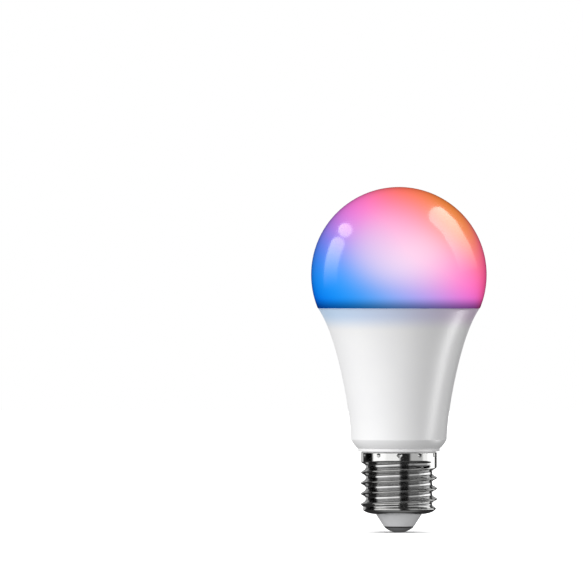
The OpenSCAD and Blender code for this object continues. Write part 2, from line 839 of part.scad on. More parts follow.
// The dished floor and the threaded wall, as an outer skin and an inner skin a wall apart
module threaded_wall() {
    rows = len(shell_line);
    first_tucked = rows - len(tucked_line);
    function wall_at(i) = i >= first_tucked ? shell_wall - 2 * tuck : shell_wall;
    function slope_in(i) =
        let (a = shell_line[max(i - 1, 0)], b = shell_line[min(i + 1, rows - 1)])
        unit([b.y - a.y, a.x - b.x]);
    skins = [for (skin = [0, 1], i = [0 : rows - 1], j = [0 : columns - 1])
        let (
            angle = 360 * j / columns,
            base = shell_line[i],
            off = skin * wall_at(i) * (i <= fillet_steps ? slope_in(i) : [1, 0]),
            r = base.x - max(0, base.x - root_r) * groove_share(angle, base.y) - off.x
        )
        [r * cos(angle), r * sin(angle), base.y - off.y]];
    function id(skin, i, j) = (skin * rows + i) * columns + j % columns;
    // one face of four corners between two places in the grid of skins, rows and columns
    function patch(a, b, j) = [id(a.x, a.y, j), id(b.x, b.y, j), id(b.x, b.y, j + 1), id(a.x, a.y, j + 1)];
    faces = [for (j = [0 : columns - 1]) each concat(
        [for (i = [0 : rows - 2]) patch([0, i], [0, i + 1], j)],
        [for (i = [0 : rows - 2]) patch([1, i + 1], [1, i], j)],
        [patch([1, 0], [0, 0], j), patch([0, rows - 1], [1, rows - 1], j)]
    )];
    polyhedron(skins, faces);
}

module at_punches() {
    for (i = [0 : punch_count - 1])
        rotate([0, 0, -90 + 360 * i / punch_count])
            translate([punch_seat_r, 0, punch_h]) children();
}

module screw_shell() {
    color("silver") {
        threaded_wall();
        difference() {
            union() {
                ring(collar_r, collar_r - shell_wall, collar_foot_h, cap_h);
                intersection() {
                    cylinder(r = collar_r - bite, h = cap_h);
                    at_punches() sphere(r = punch_r + shell_wall);
                }
            }
            at_punches() sphere(r = punch_r);
        }
    }
}

module cap_insulator() {
    mouth_r = shell_mouth_r - 0.1;
    seat_h = shell_foot_h + shell_wall + 0.1;
    body_r = crest_r - 3.6;
    bore_r = shank_d / 2 + fit_gap;
    color("gainsboro")
        rotate_extrude()
            polygon([
                [bore_r, contact_h], [contact_d / 2 + insulator_edge, contact_h], [mouth_r, shell_foot_h],
                [mouth_r, seat_h], [shell_mouth_r + 1.2, seat_h + 0.25], [body_r, insulator_h - 0.9],
                [body_r, insulator_h], [shank_d + 1.5, insulator_h], [bore_r, insulator_h - 0.6]
            ]);
}

// Domed contact with a shank that grips the live lead
module centre_contact() {
    tip_r = contact_tip_d / 2;
    rim_r = contact_d / 2;
    rim_h = 0.3;
    rise = contact_h - rim_h;
    dome_r = sqrt(pow((rim_r * rim_r - tip_r * tip_r - rise * rise) / (2 * rise), 2) + rim_r * rim_r);
    dome_z = rise + sqrt(dome_r * dome_r - rim_r * rim_r);
    color("#6e6e72") {
        intersection() {
            translate([0, 0, dome_z]) sphere(r = dome_r);
            cylinder(r = rim_r, h = contact_h);
        }
        cylinder(d = shank_d, h = shank_h);
    }
}

diffuser_globe();
globe_seal();
housing();
heat_sink_cup();
spreader_plate();
thermal_pad();
led_board();
warm_white_leds();
cool_white_leds();
colour_leds();
board_screws();
radio_board();
radio_shield();
radio_antenna();
header_block();
header_pins();
insulating_liner();
driver_board();
mains_capacitor();
output_capacitor();
transformer_core();
transformer_bobbin();
transformer_winding();
filter_choke();
choke_winding();
film_capacitor();
fusible_resistor();
bridge_rectifier();
power_chip();
dimming_chip();
chip_resistors();
live_lead();
neutral_lead();
screw_shell();
cap_insulator();
centre_contact();
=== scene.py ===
# Smart light bulb with an Edison screw cap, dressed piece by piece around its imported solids.
# Z is the bulb's axis, and the flat tip of the centre contact is at zero. The front faces -Y.

import math

import bmesh
import bpy
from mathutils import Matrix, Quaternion, Vector


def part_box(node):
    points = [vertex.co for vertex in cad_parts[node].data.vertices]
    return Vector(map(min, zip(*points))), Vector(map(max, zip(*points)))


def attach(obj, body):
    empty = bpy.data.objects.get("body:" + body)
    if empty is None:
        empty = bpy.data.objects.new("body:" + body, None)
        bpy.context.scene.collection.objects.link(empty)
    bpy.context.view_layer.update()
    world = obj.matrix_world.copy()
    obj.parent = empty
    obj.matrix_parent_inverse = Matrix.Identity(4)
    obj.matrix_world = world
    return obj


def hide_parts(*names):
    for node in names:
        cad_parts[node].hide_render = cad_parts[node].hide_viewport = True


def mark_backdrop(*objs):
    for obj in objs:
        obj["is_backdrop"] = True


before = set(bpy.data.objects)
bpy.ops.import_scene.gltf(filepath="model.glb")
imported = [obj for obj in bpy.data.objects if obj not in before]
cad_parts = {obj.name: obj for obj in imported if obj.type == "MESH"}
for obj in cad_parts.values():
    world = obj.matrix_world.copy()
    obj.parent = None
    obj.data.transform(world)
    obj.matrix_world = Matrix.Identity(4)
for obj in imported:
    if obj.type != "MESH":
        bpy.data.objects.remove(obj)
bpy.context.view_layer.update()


# ---- Centre contact
# A domed steel button on a shank, stamped and plated dull grey. The shank is pressed through the
# insulator and pinches the live lead. The dome carries the marks of the press.

mm = 0.001


def box_mm(node):
    """A node's lowest and highest corners, in millimetres."""
    low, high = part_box(node)
    return low / mm, high / mm


def arc(centre, radius, start, end, steps):
    """Points (r, z) along an arc. Angles are in degrees, from straight out."""
    turns = [math.radians(start + (end - start) * i / steps) for i in range(steps + 1)]
    return [(centre[0] + radius * math.cos(a), centre[1] + radius * math.sin(a)) for a in turns]


def rounded(corners, steps=4):
    """An outline of (r, z) through corners of (r, z, bend), each corner eased off over its bend."""
    outline = []
    for i, (r, z, bend) in enumerate(corners):
        if bend == 0:
            outline.append((r, z))
            continue
        corner = Vector((r, z))
        back = Vector(corners[i - 1][:2]) - corner
        ahead = Vector(corners[(i + 1) % len(corners)][:2]) - corner
        start = corner + back.normalized() * min(bend, back.length / 2)
        end = corner + ahead.normalized() * min(bend, ahead.length / 2)
        for k in range(steps + 1):
            t = k / steps
            outline.append(tuple(start * (1 - t) ** 2 + corner * 2 * t * (1 - t) + end * t * t))
    return outline


def shade(shape, crease=32):
    """Faces out and smooth, with a sharp edge wherever two faces meet at more than the crease."""
    bmesh.ops.recalc_face_normals(shape, faces=shape.faces)
    for face in shape.faces:
        face.smooth = True
    for edge in shape.edges:
        edge.smooth = edge.calc_face_angle(0) < math.radians(crease)


def turned(outline, around=180):
    """A solid turned about the bulb's axis from a closed outline of (r, z), in millimetres."""
    shape = bmesh.new()
    turns = [math.tau * i / around for i in range(around)]
    rings = []
    for r, z in outline:
        if r < 1e-6:
            rings.append([shape.verts.new((0, 0, z * mm))] * around)
        else:
            ring = [(r * math.cos(a) * mm, r * math.sin(a) * mm, z * mm) for a in turns]
            rings.append([shape.verts.new(point) for point in ring])
    for low, high in zip(rings, rings[1:] + rings[:1]):
        for i in range(around):
            n = (i + 1) % around
            corners = list(dict.fromkeys((low[i], low[n], high[n], high[i])))
            if len(corners) > 2:
                shape.faces.new(corners)
    shade(shape)
    return shape


def fit(name, shape, finish, slot, *stands_for):
    """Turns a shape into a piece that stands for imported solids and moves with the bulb."""
    mesh = bpy.data.meshes.new(name)
    shape.to_mesh(mesh)
    shape.free()
    piece = bpy.data.objects.new(name, mesh)
    bpy.context.scene.collection.objects.link(piece)
    mesh.materials.append(finish.material)
    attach(piece, "root")
    if stands_for:
        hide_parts(*stands_for)
    return piece


class Wire:
    """An output in a tree of nodes. Arithmetic on it adds Math nodes."""

    def __init__(self, nodes, socket):
        self.nodes = nodes
        self.socket = socket

    def math(self, operation, *values):
        return self.nodes.node("Math", {"operation": operation}, dict(enumerate(values)))

    def __add__(self, other):
        return self.math("ADD", self, other)

    def __sub__(self, other):
        return self.math("SUBTRACT", self, other)

    def __rsub__(self, other):
        return self.math("SUBTRACT", other, self)

    def __mul__(self, other):
        return self.math("MULTIPLY", self, other)

    def __truediv__(self, other):
        return self.math("DIVIDE", self, other)

    def __rtruediv__(self, other):
        return self.math("DIVIDE", other, self)

    def __pow__(self, other):
        return self.math("POWER", self, other)

    __radd__ = __add__
    __rmul__ = __mul__


class Nodes:
    """A tree of nodes, with one way to add a node and one to feed a socket."""

    def __init__(self, tree):
        self.tree = tree

    def feed(self, socket, value):
        if isinstance(value, Wire):
            self.tree.links.new(value.socket, socket)
        elif socket.type == "RGBA":
            socket.default_value = (*value, 1)
        else:
            socket.default_value = value

    def node(self, kind, settings=None, values=None, output=0):
        made = self.tree.nodes.new("ShaderNode" + kind)
        for key, value in (settings or {}).items():
            if key == "stops":
                for _ in range(len(value) - 2):
                    made.color_ramp.elements.new(0.5)
                for element, (place, colour) in zip(made.color_ramp.elements, value):
                    element.position = place
                    element.color = (*colour, 1)
            else:
                setattr(made, key, value)
        for key, value in (values or {}).items():
            self.feed(made.inputs[key], value)
        return Wire(self, made.outputs[output])


class Finish(Nodes):
    """A material made of nodes. Its point, x, y and z are in millimetres on the bulb."""

    def __init__(self, name, settings):
        self.material = bpy.data.materials.new(name)
        self.material.use_nodes = True
        super().__init__(self.material.node_tree)
        self.shader = self.tree.nodes["Principled BSDF"]
        for socket, value in settings.items():
            self.set(socket, value)
        place = self.node("TexCoord", output="Object")
        self.point = self.node("VectorMath", {"operation": "SCALE"}, {0: place, "Scale": 1 / mm})
        self.x, self.y, self.z = (self.node("SeparateXYZ", {}, {0: self.point}, i) for i in range(3))
        self.radius = (self.x * self.x + self.y * self.y) ** 0.5

    def set(self, socket, value):
        self.feed(self.shader.inputs[socket], value)

    def rise(self, value, low, high):
        """0 up to low, 1 from high on, and an eased slope between them."""
        settings = {"interpolation_type": "SMOOTHSTEP"}
        return self.node("MapRange", settings, {"Value": value, "From Min": low, "From Max": high})

    def mix(self, share, first, second, blend="MIX"):
        settings = {"data_type": "RGBA", "blend_type": blend}
        return self.node("Mix", settings, {0: share, 6: first, 7: second}, 2)

    def noise(self, size, detail=3.0, stretch=(1, 1, 1)):
        """Cloudy noise from 0 to 1 with spots of about that size, in millimetres."""
        place = self.node("VectorMath", {"operation": "MULTIPLY"}, {0: self.point, 1: stretch})
        return self.node("TexNoise", {}, {"Vector": place, "Scale": 1 / size, "Detail": detail}, "Fac")

    def relief(self, height, depth):
        """Bumps of a depth in millimetres wherever the height goes from 0 to 1."""
        values = {"Strength": 1.0, "Distance": depth * mm, "Height": height}
        self.set("Normal", self.node("Bump", {}, values, "Normal"))

    def rings(self, value, scale, detail):
        """Fine lines from 0 to 1 that change only with a value, such as the marks of a lathe."""
        values = {"W": value, "Scale": scale, "Detail": detail}
        return self.node("TexNoise", {"noise_dimensions": "1D"}, values, "Fac")


button_r = 5.0
button_tip_r = 1.5
button_h = 2.0
button_rim_h = 0.3
shank_r = 1.1
shank_top_h = box_mm("centre_contact")[1].z
button_rise = button_h - button_rim_h
button_reach = (button_r ** 2 - button_tip_r ** 2 - button_rise ** 2) / (2 * button_rise)
button_bend = math.hypot(button_reach, button_r)
button_centre = (0, button_rise + button_reach)
button_tip_angle = math.degrees(math.asin(button_tip_r / button_bend)) - 90
button_rim_angle = math.degrees(math.asin(button_r / button_bend)) - 90
button_outline = (
    [(0, 0)]
    + arc(button_centre, button_bend, button_tip_angle, button_rim_angle, 24)
    + rounded([(button_r, button_rise + 0.01, 0), (button_r, button_h, 0.12), (shank_r, button_h, 0.1),
               (shank_r, shank_top_h, 0.15), (0, shank_top_h, 0)])
)

dull_plate = Finish("dull_plate", {"Metallic": 0.6})
plate_rings = dull_plate.rings(dull_plate.radius, 9.0, 4.0)
plate_clouds = dull_plate.noise(0.7)
# Painted shade: the button's rim and all above it, where it meets the insulator, are painted nearly
# black
rim_painted_shade = dull_plate.rise(dull_plate.z, button_rise - 0.25, button_rise + 0.1)
plate_tone = dull_plate.mix(plate_clouds, (0.28, 0.28, 0.29), (0.40, 0.40, 0.41))
dull_plate.set("Base Color", dull_plate.mix(rim_painted_shade, plate_tone, (0.02, 0.02, 0.022)))
dull_plate.set("Roughness", 0.3 + plate_clouds * 0.14)
dull_plate.relief(plate_rings * 0.6 + plate_clouds * 0.4, 0.012)
fit("centre_contact_button", turned(button_outline, 128), dull_plate, "contact_metal", "centre_contact")


# ---- Cap insulator
# A grey ceramic cone that keeps the contact apart from the shell. It is pressed, glazed thinly and
# staked into the shell's mouth from inside, with a fine speckle in its body.

cone_foot_r = 5.2
cone_foot_h = 2.0
cone_bore_r = 1.15
mouth_r = 7.9
mouth_h = 6.2
seat_h = 6.65
flange_r = 9.6
cone_top_h = box_mm("cap_insulator")[1].z
cone_outline = rounded([
    (cone_bore_r, cone_foot_h, 0), (cone_foot_r, cone_foot_h, 0.22), (mouth_r, mouth_h, 0.2),
    (mouth_r, seat_h, 0.1), (flange_r - 0.4, seat_h + 0.25, 0.2), (flange_r, seat_h + 1.25, 0.3),
    (flange_r, cone_top_h, 0.25), (3.7, cone_top_h, 0.3), (cone_bore_r, cone_top_h - 0.6, 0.2)
])
ceramic = Finish("grey_ceramic", {"Specular IOR Level": 0.5, "Coat Weight": 0.25, "Coat Roughness": 0.2})
ceramic_speckle = ceramic.rise(ceramic.noise(0.16, 2.0), 0.62, 0.72)
ceramic_clouds = ceramic.noise(2.4)
ceramic_tone = ceramic.mix(ceramic_clouds, (0.52, 0.52, 0.53), (0.60, 0.60, 0.61))
ceramic.set("Base Color", ceramic.mix(ceramic_speckle * 0.35, ceramic_tone, (0.2, 0.2, 0.2)))
ceramic.set("Roughness", 0.4 + ceramic_clouds * 0.15)
ceramic.relief(ceramic.noise(0.3, 4.0), 0.02)
insulator = fit("cap_insulator_cone", turned(cone_outline), ceramic, "cap_glass", "cap_insulator")


# ---- Screw shell
# Thin brass, drawn into a cup, rolled to the Edison thread and plated with bright nickel. Eleven
# punch marks in its collar lock it to the housing's neck.

crest_r = 13.2
root_r = 11.45
collar_r = 13.05
shell_mouth_r = 8.0
shell_foot_h = 6.2
dish_h = 2.9
collar_foot_h = 24.5
rim_h = box_mm("screw_shell")[1].z
thread_pitch = 3.629
crest_h = 15.0
sheet_t = 0.35
punch_count = 11
punch_h = rim_h - 0.85
punch_dent_r = 0.6
punch_dent = 0.3
thread_foot_h = shell_foot_h + dish_h
thread_top_h = collar_foot_h - 0.15
groove_end = 360 * ((collar_foot_h - 0.7 - crest_h) / thread_pitch - 0.5)
groove_fade = 45


def ease(low, high, x):
    """0 up to low, 1 from high on, and an eased slope between them."""
    t = min(1.0, max(0.0, (x - low) / (high - low)))
    return t * t * (3 - 2 * t)


def groove_share(angle, z):
    """Share of the thread's depth at an angle and a height. The groove climbs with the angle."""
    turns = (z - crest_h) / thread_pitch - angle / 360
    climbed = angle + 360 * math.floor(turns)
    rise = (1 - math.cos(math.tau * turns)) / 2
    wave = rise * (2 - rise)
    run_out = 1 - ease(groove_end - groove_fade, groove_end, climbed)
    above_dish = ease(shell_foot_h + 0.35 * dish_h, shell_foot_h + dish_h + 0.4, z)
    return wave * run_out * above_dish * (1 - ease(thread_top_h - 0.6, thread_top_h, z))


def punched(angle, z):
    """Depth of the nearest punch mark at an angle and a height."""
    pitch = 360 / punch_count
    off = (angle + 90 + pitch / 2) % pitch - pitch / 2
    away = math.hypot(math.radians(off) * collar_r, z - punch_h)
    return punch_dent * (1 - min(1.0, (away / punch_dent_r) ** 2)) ** 0.8


def shell_rows():
    """The outline from the mouth, over the dished floor and the thread, up to the rim."""
    rows = []
    reach = crest_r - shell_mouth_r
    dish_steps = 14
    for i in range(dish_steps + 1):
        a = math.pi / 2 * i / dish_steps
        rows.append((shell_mouth_r + reach * math.sin(a), shell_foot_h + dish_h * (1 - math.cos(a))))
    steps = round((thread_top_h - thread_foot_h) / thread_pitch * 24)
    for i in range(1, steps + 1):
        z = thread_foot_h + (thread_top_h - thread_foot_h) * i / steps
        step_in = ease(thread_top_h - 2 * thread_pitch, thread_top_h - thread_pitch / 2, z)
        rows.append((crest_r - (crest_r - collar_r) * step_in, z))
    below_punch = punch_h - punch_dent_r
    rows += [(collar_r, thread_top_h + (below_punch - thread_top_h) * i / 4) for i in range(1, 5)]
    rows += [(collar_r, below_punch + 2 * punch_dent_r * i / 16) for i in range(1, 17)]
    rows.append((collar_r, rim_h))
    return rows


def shell_wall():
    """The pressed sheet, with its columns drawn closer together at the punch marks."""
    per_punch = 24
    drawn_in = 0.72
    shape = bmesh.new()
    angles = []
    for i in range(punch_count * per_punch):
        u = i / per_punch
        drawn = u - drawn_in * math.sin(math.tau * u) / math.tau
        angles.append((-90 + drawn * 360 / punch_count) % 360)
    rings = []
    for r, z in shell_rows():
        ring = []
        for angle in angles:
            turn = math.radians(angle)
            here = r - max(0, r - root_r) * groove_share(angle, z)
            if z > collar_foot_h:
                here -= punched(angle, z)
            point = (here * math.cos(turn) * mm, here * math.sin(turn) * mm, z * mm)
            ring.append(shape.verts.new(point))
        rings.append(ring)
    for low, high in zip(rings, rings[1:]):
        for i in range(len(angles)):
            n = (i + 1) % len(angles)
            shape.faces.new((low[i], low[n], high[n], high[i]))
    for face in shape.faces:
        face.smooth = True
    return shape


def settle(piece):
    """Works a piece's modifiers into its mesh."""
    seen = piece.evaluated_get(bpy.context.evaluated_depsgraph_get())
    mesh = bpy.data.meshes.new_from_object(seen)
    piece.modifiers.clear()
    piece.data = mesh


nickel = Finish("bright_nickel", {"Metallic": 1.0})
roll_marks = nickel.rings(nickel.z, 7.0, 5.0)
nickel_clouds = nickel.noise(1.6)
# Painted shade: the thread's roots are painted darker, and are made duller as well
out_of_root_shade = nickel.rise(nickel.radius, root_r - 0.2, crest_r - 0.4)
nickel_tone = nickel.mix(nickel_clouds, (0.80, 0.80, 0.79), (0.88, 0.88, 0.87))
nickel_tone = nickel.mix(out_of_root_shade, (0.76, 0.76, 0.76), nickel_tone)
# Painted shade: the flank above each crest, which faces up, is painted dark, as the dark above would
# show in it, and this runs out before the collar
turn_share = nickel.x.math("ARCTAN2", nickel.y, nickel.x) / math.tau
climb = (nickel.z - crest_h) / thread_pitch - turn_share
above_crest = climb.math("FRACT", climb)
upper_flank_painted_shade = nickel.rise(above_crest, 0.1, 0.16) * (1 - nickel.rise(above_crest, 0.38, 0.46))
in_thread = nickel.rise(nickel.z, thread_foot_h - 0.7, thread_foot_h + 0.3)
in_thread = in_thread * (1 - nickel.rise(nickel.z, collar_foot_h - 1.7, collar_foot_h - 0.9))
in_thread = in_thread * (1 - nickel.rise(nickel.radius, crest_r - 0.35, crest_r - 0.15))
nickel.set("Base Color", nickel.mix(upper_flank_painted_shade * in_thread, nickel_tone, (0.4, 0.4, 0.4)))
nickel.set("Roughness", 0.09 + nickel_clouds * 0.05 + (1 - out_of_root_shade) * 0.04)
nickel.relief(roll_marks * 0.8 + nickel.noise(0.6) * 0.2, 0.002)
shell = fit("threaded_shell", shell_wall(), nickel, "nickelled_shell", "screw_shell")
wall = shell.modifiers.new("wall", "SOLIDIFY")
wall.thickness = sheet_t * mm
wall.offset = -1
settle(shell)


# ---- Housing
# One moulding in satin white plastic: the flared body, the lip over the cap, and the neck that the
# shell is punched onto. Two pairs of rails in the neck hold the driver board.

waist_r = 16.4
lip_r = 27.566
ring_r = 14.0
ring_foot_h = rim_h + 0.3
ring_top_h = ring_foot_h + 1.0
shoulder_low = math.radians(50)
shoulder_high = math.radians(25)
shoulder_bend = (waist_r - ring_r) / (math.cos(shoulder_high) - math.cos(shoulder_low))
shoulder_h = ring_top_h + shoulder_bend * (math.sin(shoulder_low) - math.sin(shoulder_high))
shoulder_centre = (waist_r - shoulder_bend * math.cos(shoulder_high),
                   shoulder_h + shoulder_bend * math.sin(shoulder_high))
seam_h = box_mm("housing")[1].z
neck_foot_h = box_mm("housing")[0].z
housing_wall = 1.4
pilot_r = 10.95
neck_bore_r = 9.75
seat_r = 12.65
punch_room_r = seat_r - 0.35
punch_room_half_h = 0.75
inner_floor_h = ring_top_h + 1.9


def housing_r(z):
    """The body's outer radius: one long flare, and a small second one close under the seam."""
    t = max(0.0, (z - shoulder_h) / (seam_h - shoulder_h))
    return waist_r + (lip_r - waist_r) * (0.84 * t ** 1.56 + 0.16 * t ** 8)


def flare(low, high, inset, steps=60):
    """The flare's outline between two heights, set in from the outside."""
    heights = [low + (high - low) * i / steps for i in range(steps + 1)]
    return [(housing_r(z) - inset, z) for z in heights]


def block(low, high):
    """A closed block from its lowest corner to its highest, in millimetres."""
    shape = bmesh.new()
    bmesh.ops.create_cube(shape, size=1)
    for vert in shape.verts:
        vert.co = [(a + (b - a) * (c + 0.5)) * mm for a, b, c in zip(low, high, vert.co)]
    return shape


def joined(piece, operation, shapes):
    """Adds shapes to a piece, or cuts them out of it."""
    for shape in shapes:
        mesh = bpy.data.meshes.new("tool")
        shape.to_mesh(mesh)
        shape.free()
        tool = bpy.data.objects.new("tool", mesh)
        bpy.context.scene.collection.objects.link(tool)
        step = piece.modifiers.new("step", "BOOLEAN")
        step.operation = operation
        step.object = tool
        settle(piece)
        bpy.data.objects.remove(tool)


housing_outline = (
    rounded([
        (neck_bore_r, neck_foot_h, 0.2), (pilot_r, neck_foot_h, 0.25), (pilot_r, collar_foot_h, 0.1),
        (seat_r, collar_foot_h, 0.2), (seat_r, punch_h - punch_room_half_h, 0),
        (punch_room_r, punch_h - punch_room_half_h, 0), (punch_room_r, punch_h + punch_room_half_h, 0),
        (seat_r, punch_h + punch_room_half_h, 0), (seat_r, ring_foot_h, 0.1),
        (ring_r, ring_foot_h, 0.28), (ring_r, ring_top_h - 0.02, 0.1)
    ])
    + arc(shoulder_centre, shoulder_bend, -50, -25, 16)
    + flare(shoulder_h + 0.05, seam_h - 0.3, 0, 120)
    + rounded([(lip_r, seam_h - 0.2, 0), (lip_r, seam_h, 0.18), (lip_r - housing_wall, seam_h, 0.15)])
    + flare(seam_h - 0.4, shoulder_h, housing_wall)
    + rounded([(ring_r - 1.2, inner_floor_h, 0.4), (neck_bore_r, inner_floor_h, 0.3)])
)

satin = Finish("satin_white_plastic", {"Specular IOR Level": 0.45, "Coat Weight": 0.08,
                                       "Coat Roughness": 0.25})
satin_clouds = satin.noise(9.0)
mould_grain = satin.noise(0.22, 4.0)
satin_tone = satin.mix(satin_clouds, (0.83, 0.83, 0.84), (0.87, 0.87, 0.87))
# Painted light: the globe's coloured light is painted into the housing's top under the seam, blue at the
# left and pink at the right
side = satin.x / lip_r
globe_light_tints = [(0.0, (0.52, 0.68, 0.87)), (0.5, (0.60, 0.66, 0.84)), (0.7, (0.67, 0.64, 0.82)),
             (0.9, (0.72, 0.58, 0.75))]
painted_globe_light = satin.node("ValToRGB", {"stops": globe_light_tints}, {0: side * 0.5 + 0.5})
globe_light_share = satin.rise(satin.z, seam_h - 8.0, seam_h - 2.0)
satin.set("Base Color", satin.mix(globe_light_share, satin_tone, painted_globe_light))
satin.set("Roughness", 0.34 + mould_grain * 0.12)
satin.relief(mould_grain * 0.5 + satin.noise(0.9) * 0.5, 0.012)
housing = fit("housing_moulding", turned(housing_outline, 200), satin, "white_housing", "housing")

rail_foot_x = 7.06
rail_t = 1.0
rail_low_h = neck_foot_h + 0.25
rail_high_h = inner_floor_h - 0.35
rails = []
for rail_y, rail_x in ((2.25, 9.8), (4.75, 8.6)):
    for low_x, high_x in ((rail_foot_x, rail_x), (-rail_x, -rail_foot_x)):
        rails.append(block((low_x, rail_y, rail_low_h), (high_x, rail_y + rail_t, rail_high_h)))
joined(housing, "UNION", rails)
slot_half_w = 0.5
slot_depth = 0.75
lead_slot = block((pilot_r - slot_depth, -slot_half_w, neck_foot_h - 1),
                  (pilot_r + 1, slot_half_w, collar_foot_h - sheet_t))
joined(housing, "DIFFERENCE", [lead_slot])


# ---- Heat sink
# A spun aluminium cup pressed into the housing, a stamped spreader plate whose skirt grips the cup,
# and a grey silicone pad between the plate and the LED board.


def dress(finish, *nodes):
    """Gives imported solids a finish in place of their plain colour."""
    for node in nodes:
        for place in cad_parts[node].material_slots:
            place.material = finish.material


spun = Finish("spun_aluminium", {"Metallic": 1.0})
spun_rings = spun.rings(spun.z, 6.0, 4.0)
spun.set("Base Color", spun.mix(spun.noise(5.0), (0.72, 0.73, 0.74), (0.84, 0.85, 0.86)))
spun.set("Roughness", 0.26 + spun_rings * 0.22)
spun.relief(spun_rings, 0.012)
dress(spun, "heat_sink_cup")

stamped = Finish("stamped_aluminium", {"Metallic": 1.0})
rolled_grain = stamped.noise(0.4, 4.0, (0.04, 1, 1))
stamped.set("Base Color", stamped.mix(stamped.noise(6.0), (0.76, 0.77, 0.78), (0.86, 0.87, 0.88)))
stamped.set("Roughness", 0.3 + rolled_grain * 0.22)
stamped.relief(rolled_grain, 0.006)
dress(stamped, "spreader_plate")

pad = Finish("silicone_pad", {"Specular IOR Level": 0.25})
pad_weave = (pad.node("TexWave", {}, {"Vector": pad.point, "Scale": 0.4}, "Fac")
             * pad.node("TexWave", {"bands_direction": "Y"}, {"Vector": pad.point, "Scale": 0.4}, "Fac"))
pad.set("Base Color", pad.mix(pad_weave, (0.34, 0.40, 0.46), (0.44, 0.50, 0.56)))
pad.set("Roughness", 0.6 + pad.noise(1.5) * 0.2)
pad.relief(pad_weave, 0.03)
dress(pad, "thermal_pad")


# ---- Insulating liner
# A thin cup of ivory polyester between the metal and the driver. It is injection moulded, with a
# faint flow pattern and a fine spark-eroded grain.

ivory = Finish("ivory_polyester", {"Specular IOR Level": 0.4})
ivory_flow = ivory.noise(4.0, 3.0, (1, 1, 0.25))
ivory_grain = ivory.noise(0.2, 3.0)
ivory.set("Base Color", ivory.mix(ivory_flow, (0.72, 0.69, 0.60), (0.79, 0.77, 0.69)))
ivory.set("Roughness", 0.42 + ivory_grain * 0.15)
ivory.relief(ivory_grain, 0.015)
dress(ivory, "insulating_liner")


# ---- Driver board and radio board
# Woven glass and epoxy under a green mask, with the copper tracks standing up faintly beneath it.
# The driver board slides down between the neck's rails. The radio board stands in the LED board.

mask = Finish("green_mask", {"Coat Weight": 0.5, "Coat Roughness": 0.12})
board_plane = mask.node("CombineXYZ", {}, {0: mask.x, 1: mask.z})
tracks = mask.node("TexBrick", {"offset": 0.37, "squash": 0.6, "squash_frequency": 3}, {
    "Vector": board_plane, "Scale": 1.0, "Mortar Size": 0.12, "Mortar Smooth": 0.3, "Brick Width": 2.7,
    "Row Height": 1.3
}, "Fac")
glass_weave = mask.noise(0.3, 2.0)
mask_tone = mask.mix(glass_weave, (0.012, 0.10, 0.045), (0.02, 0.14, 0.06))
mask.set("Base Color", mask.mix(tracks, mask_tone, (0.05, 0.26, 0.10)))
mask.set("Roughness", 0.28 + glass_weave * 0.12)
mask.relief(tracks * 0.7 + glass_weave * 0.3, 0.035)
dress(mask, "driver_board", "radio_board")


# ---- Electrolytic capacitors
# Aluminium cans in a shrunk plastic sleeve with a pale stripe for the negative side. The sleeve folds
# over both ends. One end is scored to vent, and the other is closed with a rubber bung.


def electrolytic(node, colour):
    """Dresses one can, its sleeve, bung, vent and leads told apart by their places."""
    low, high = box_mm(node)
    can_r = (high.x - low.x) / 2
    can_top = high.z - 1.1
    fold_w = 0.8
    bung_t = 0.6
    stripe_half_w = 1.3
    vent_half_w = 0.22
    sleeve = Finish(node + "_sleeve", {})
    right = sleeve.x - (low.x + high.x) / 2
    ahead = sleeve.y - (low.y + can_r)
    away = (right * right + ahead * ahead) ** 0.5
    across = right.math("ABSOLUTE", right)
    wrapped = sleeve.rise(away, can_r - fold_w, can_r - fold_w + 0.1)
    bung = sleeve.rise(sleeve.z, can_top - bung_t, can_top - bung_t + 0.1)
    leads = sleeve.rise(sleeve.z, can_top + 0.02, can_top + 0.06)
    on_stripe = sleeve.rise(0 - across, -stripe_half_w, -stripe_half_w + 0.1)
    stripe = on_stripe * sleeve.rise(0 - ahead, 0.0, 0.1)
    shrink = sleeve.noise(0.9, 3.0, (1, 1, 0.3))
    vent = sleeve.rise(0 - across, -vent_half_w, -vent_half_w + 0.1)
    film = sleeve.mix(stripe, colour, (0.62, 0.64, 0.66))
    ends = sleeve.mix(bung, (0.78, 0.78, 0.79), (0.03, 0.03, 0.03))
    wrapped_can = sleeve.mix(wrapped, ends, film)
    sleeve.set("Base Color", sleeve.mix(leads, wrapped_can, (0.80, 0.80, 0.78)))
    bare = (1 - wrapped) * (1 - bung)
    sleeve.set("Metallic", bare + leads * (1 - bare))
    sleeve.set("Roughness", 0.22 + shrink * 0.16)
    sleeve.relief(shrink * 0.3 - vent * (1 - wrapped), 0.06)
    dress(sleeve, node)


electrolytic("mains_capacitor", (0.012, 0.02, 0.10))
electrolytic("output_capacitor", (0.02, 0.035, 0.045))


# ---- Transformer
# A pressed ferrite frame, ground flat where its halves meet, round a tan phenolic bobbin. Yellow
# polyester tape closes the coil.

ferrite = Finish("ferrite", {"Specular IOR Level": 0.4})
ferrite_grain = ferrite.noise(0.12, 3.0)
ferrite.set("Base Color", ferrite.mix(ferrite.noise(1.5), (0.03, 0.03, 0.033), (0.06, 0.06, 0.065)))
ferrite.set("Roughness", 0.45 + ferrite_grain * 0.2)
ferrite.relief(ferrite_grain, 0.02)
dress(ferrite, "transformer_core", "filter_choke")

phenolic = Finish("tan_phenolic", {"Specular IOR Level": 0.45})
phenolic_flecks = phenolic.noise(0.25, 4.0)
phenolic.set("Base Color", phenolic.mix(phenolic_flecks, (0.36, 0.22, 0.10), (0.52, 0.34, 0.17)))
phenolic.set("Roughness", 0.4 + phenolic_flecks * 0.15)
phenolic.relief(phenolic_flecks, 0.015)
dress(phenolic, "transformer_bobbin")

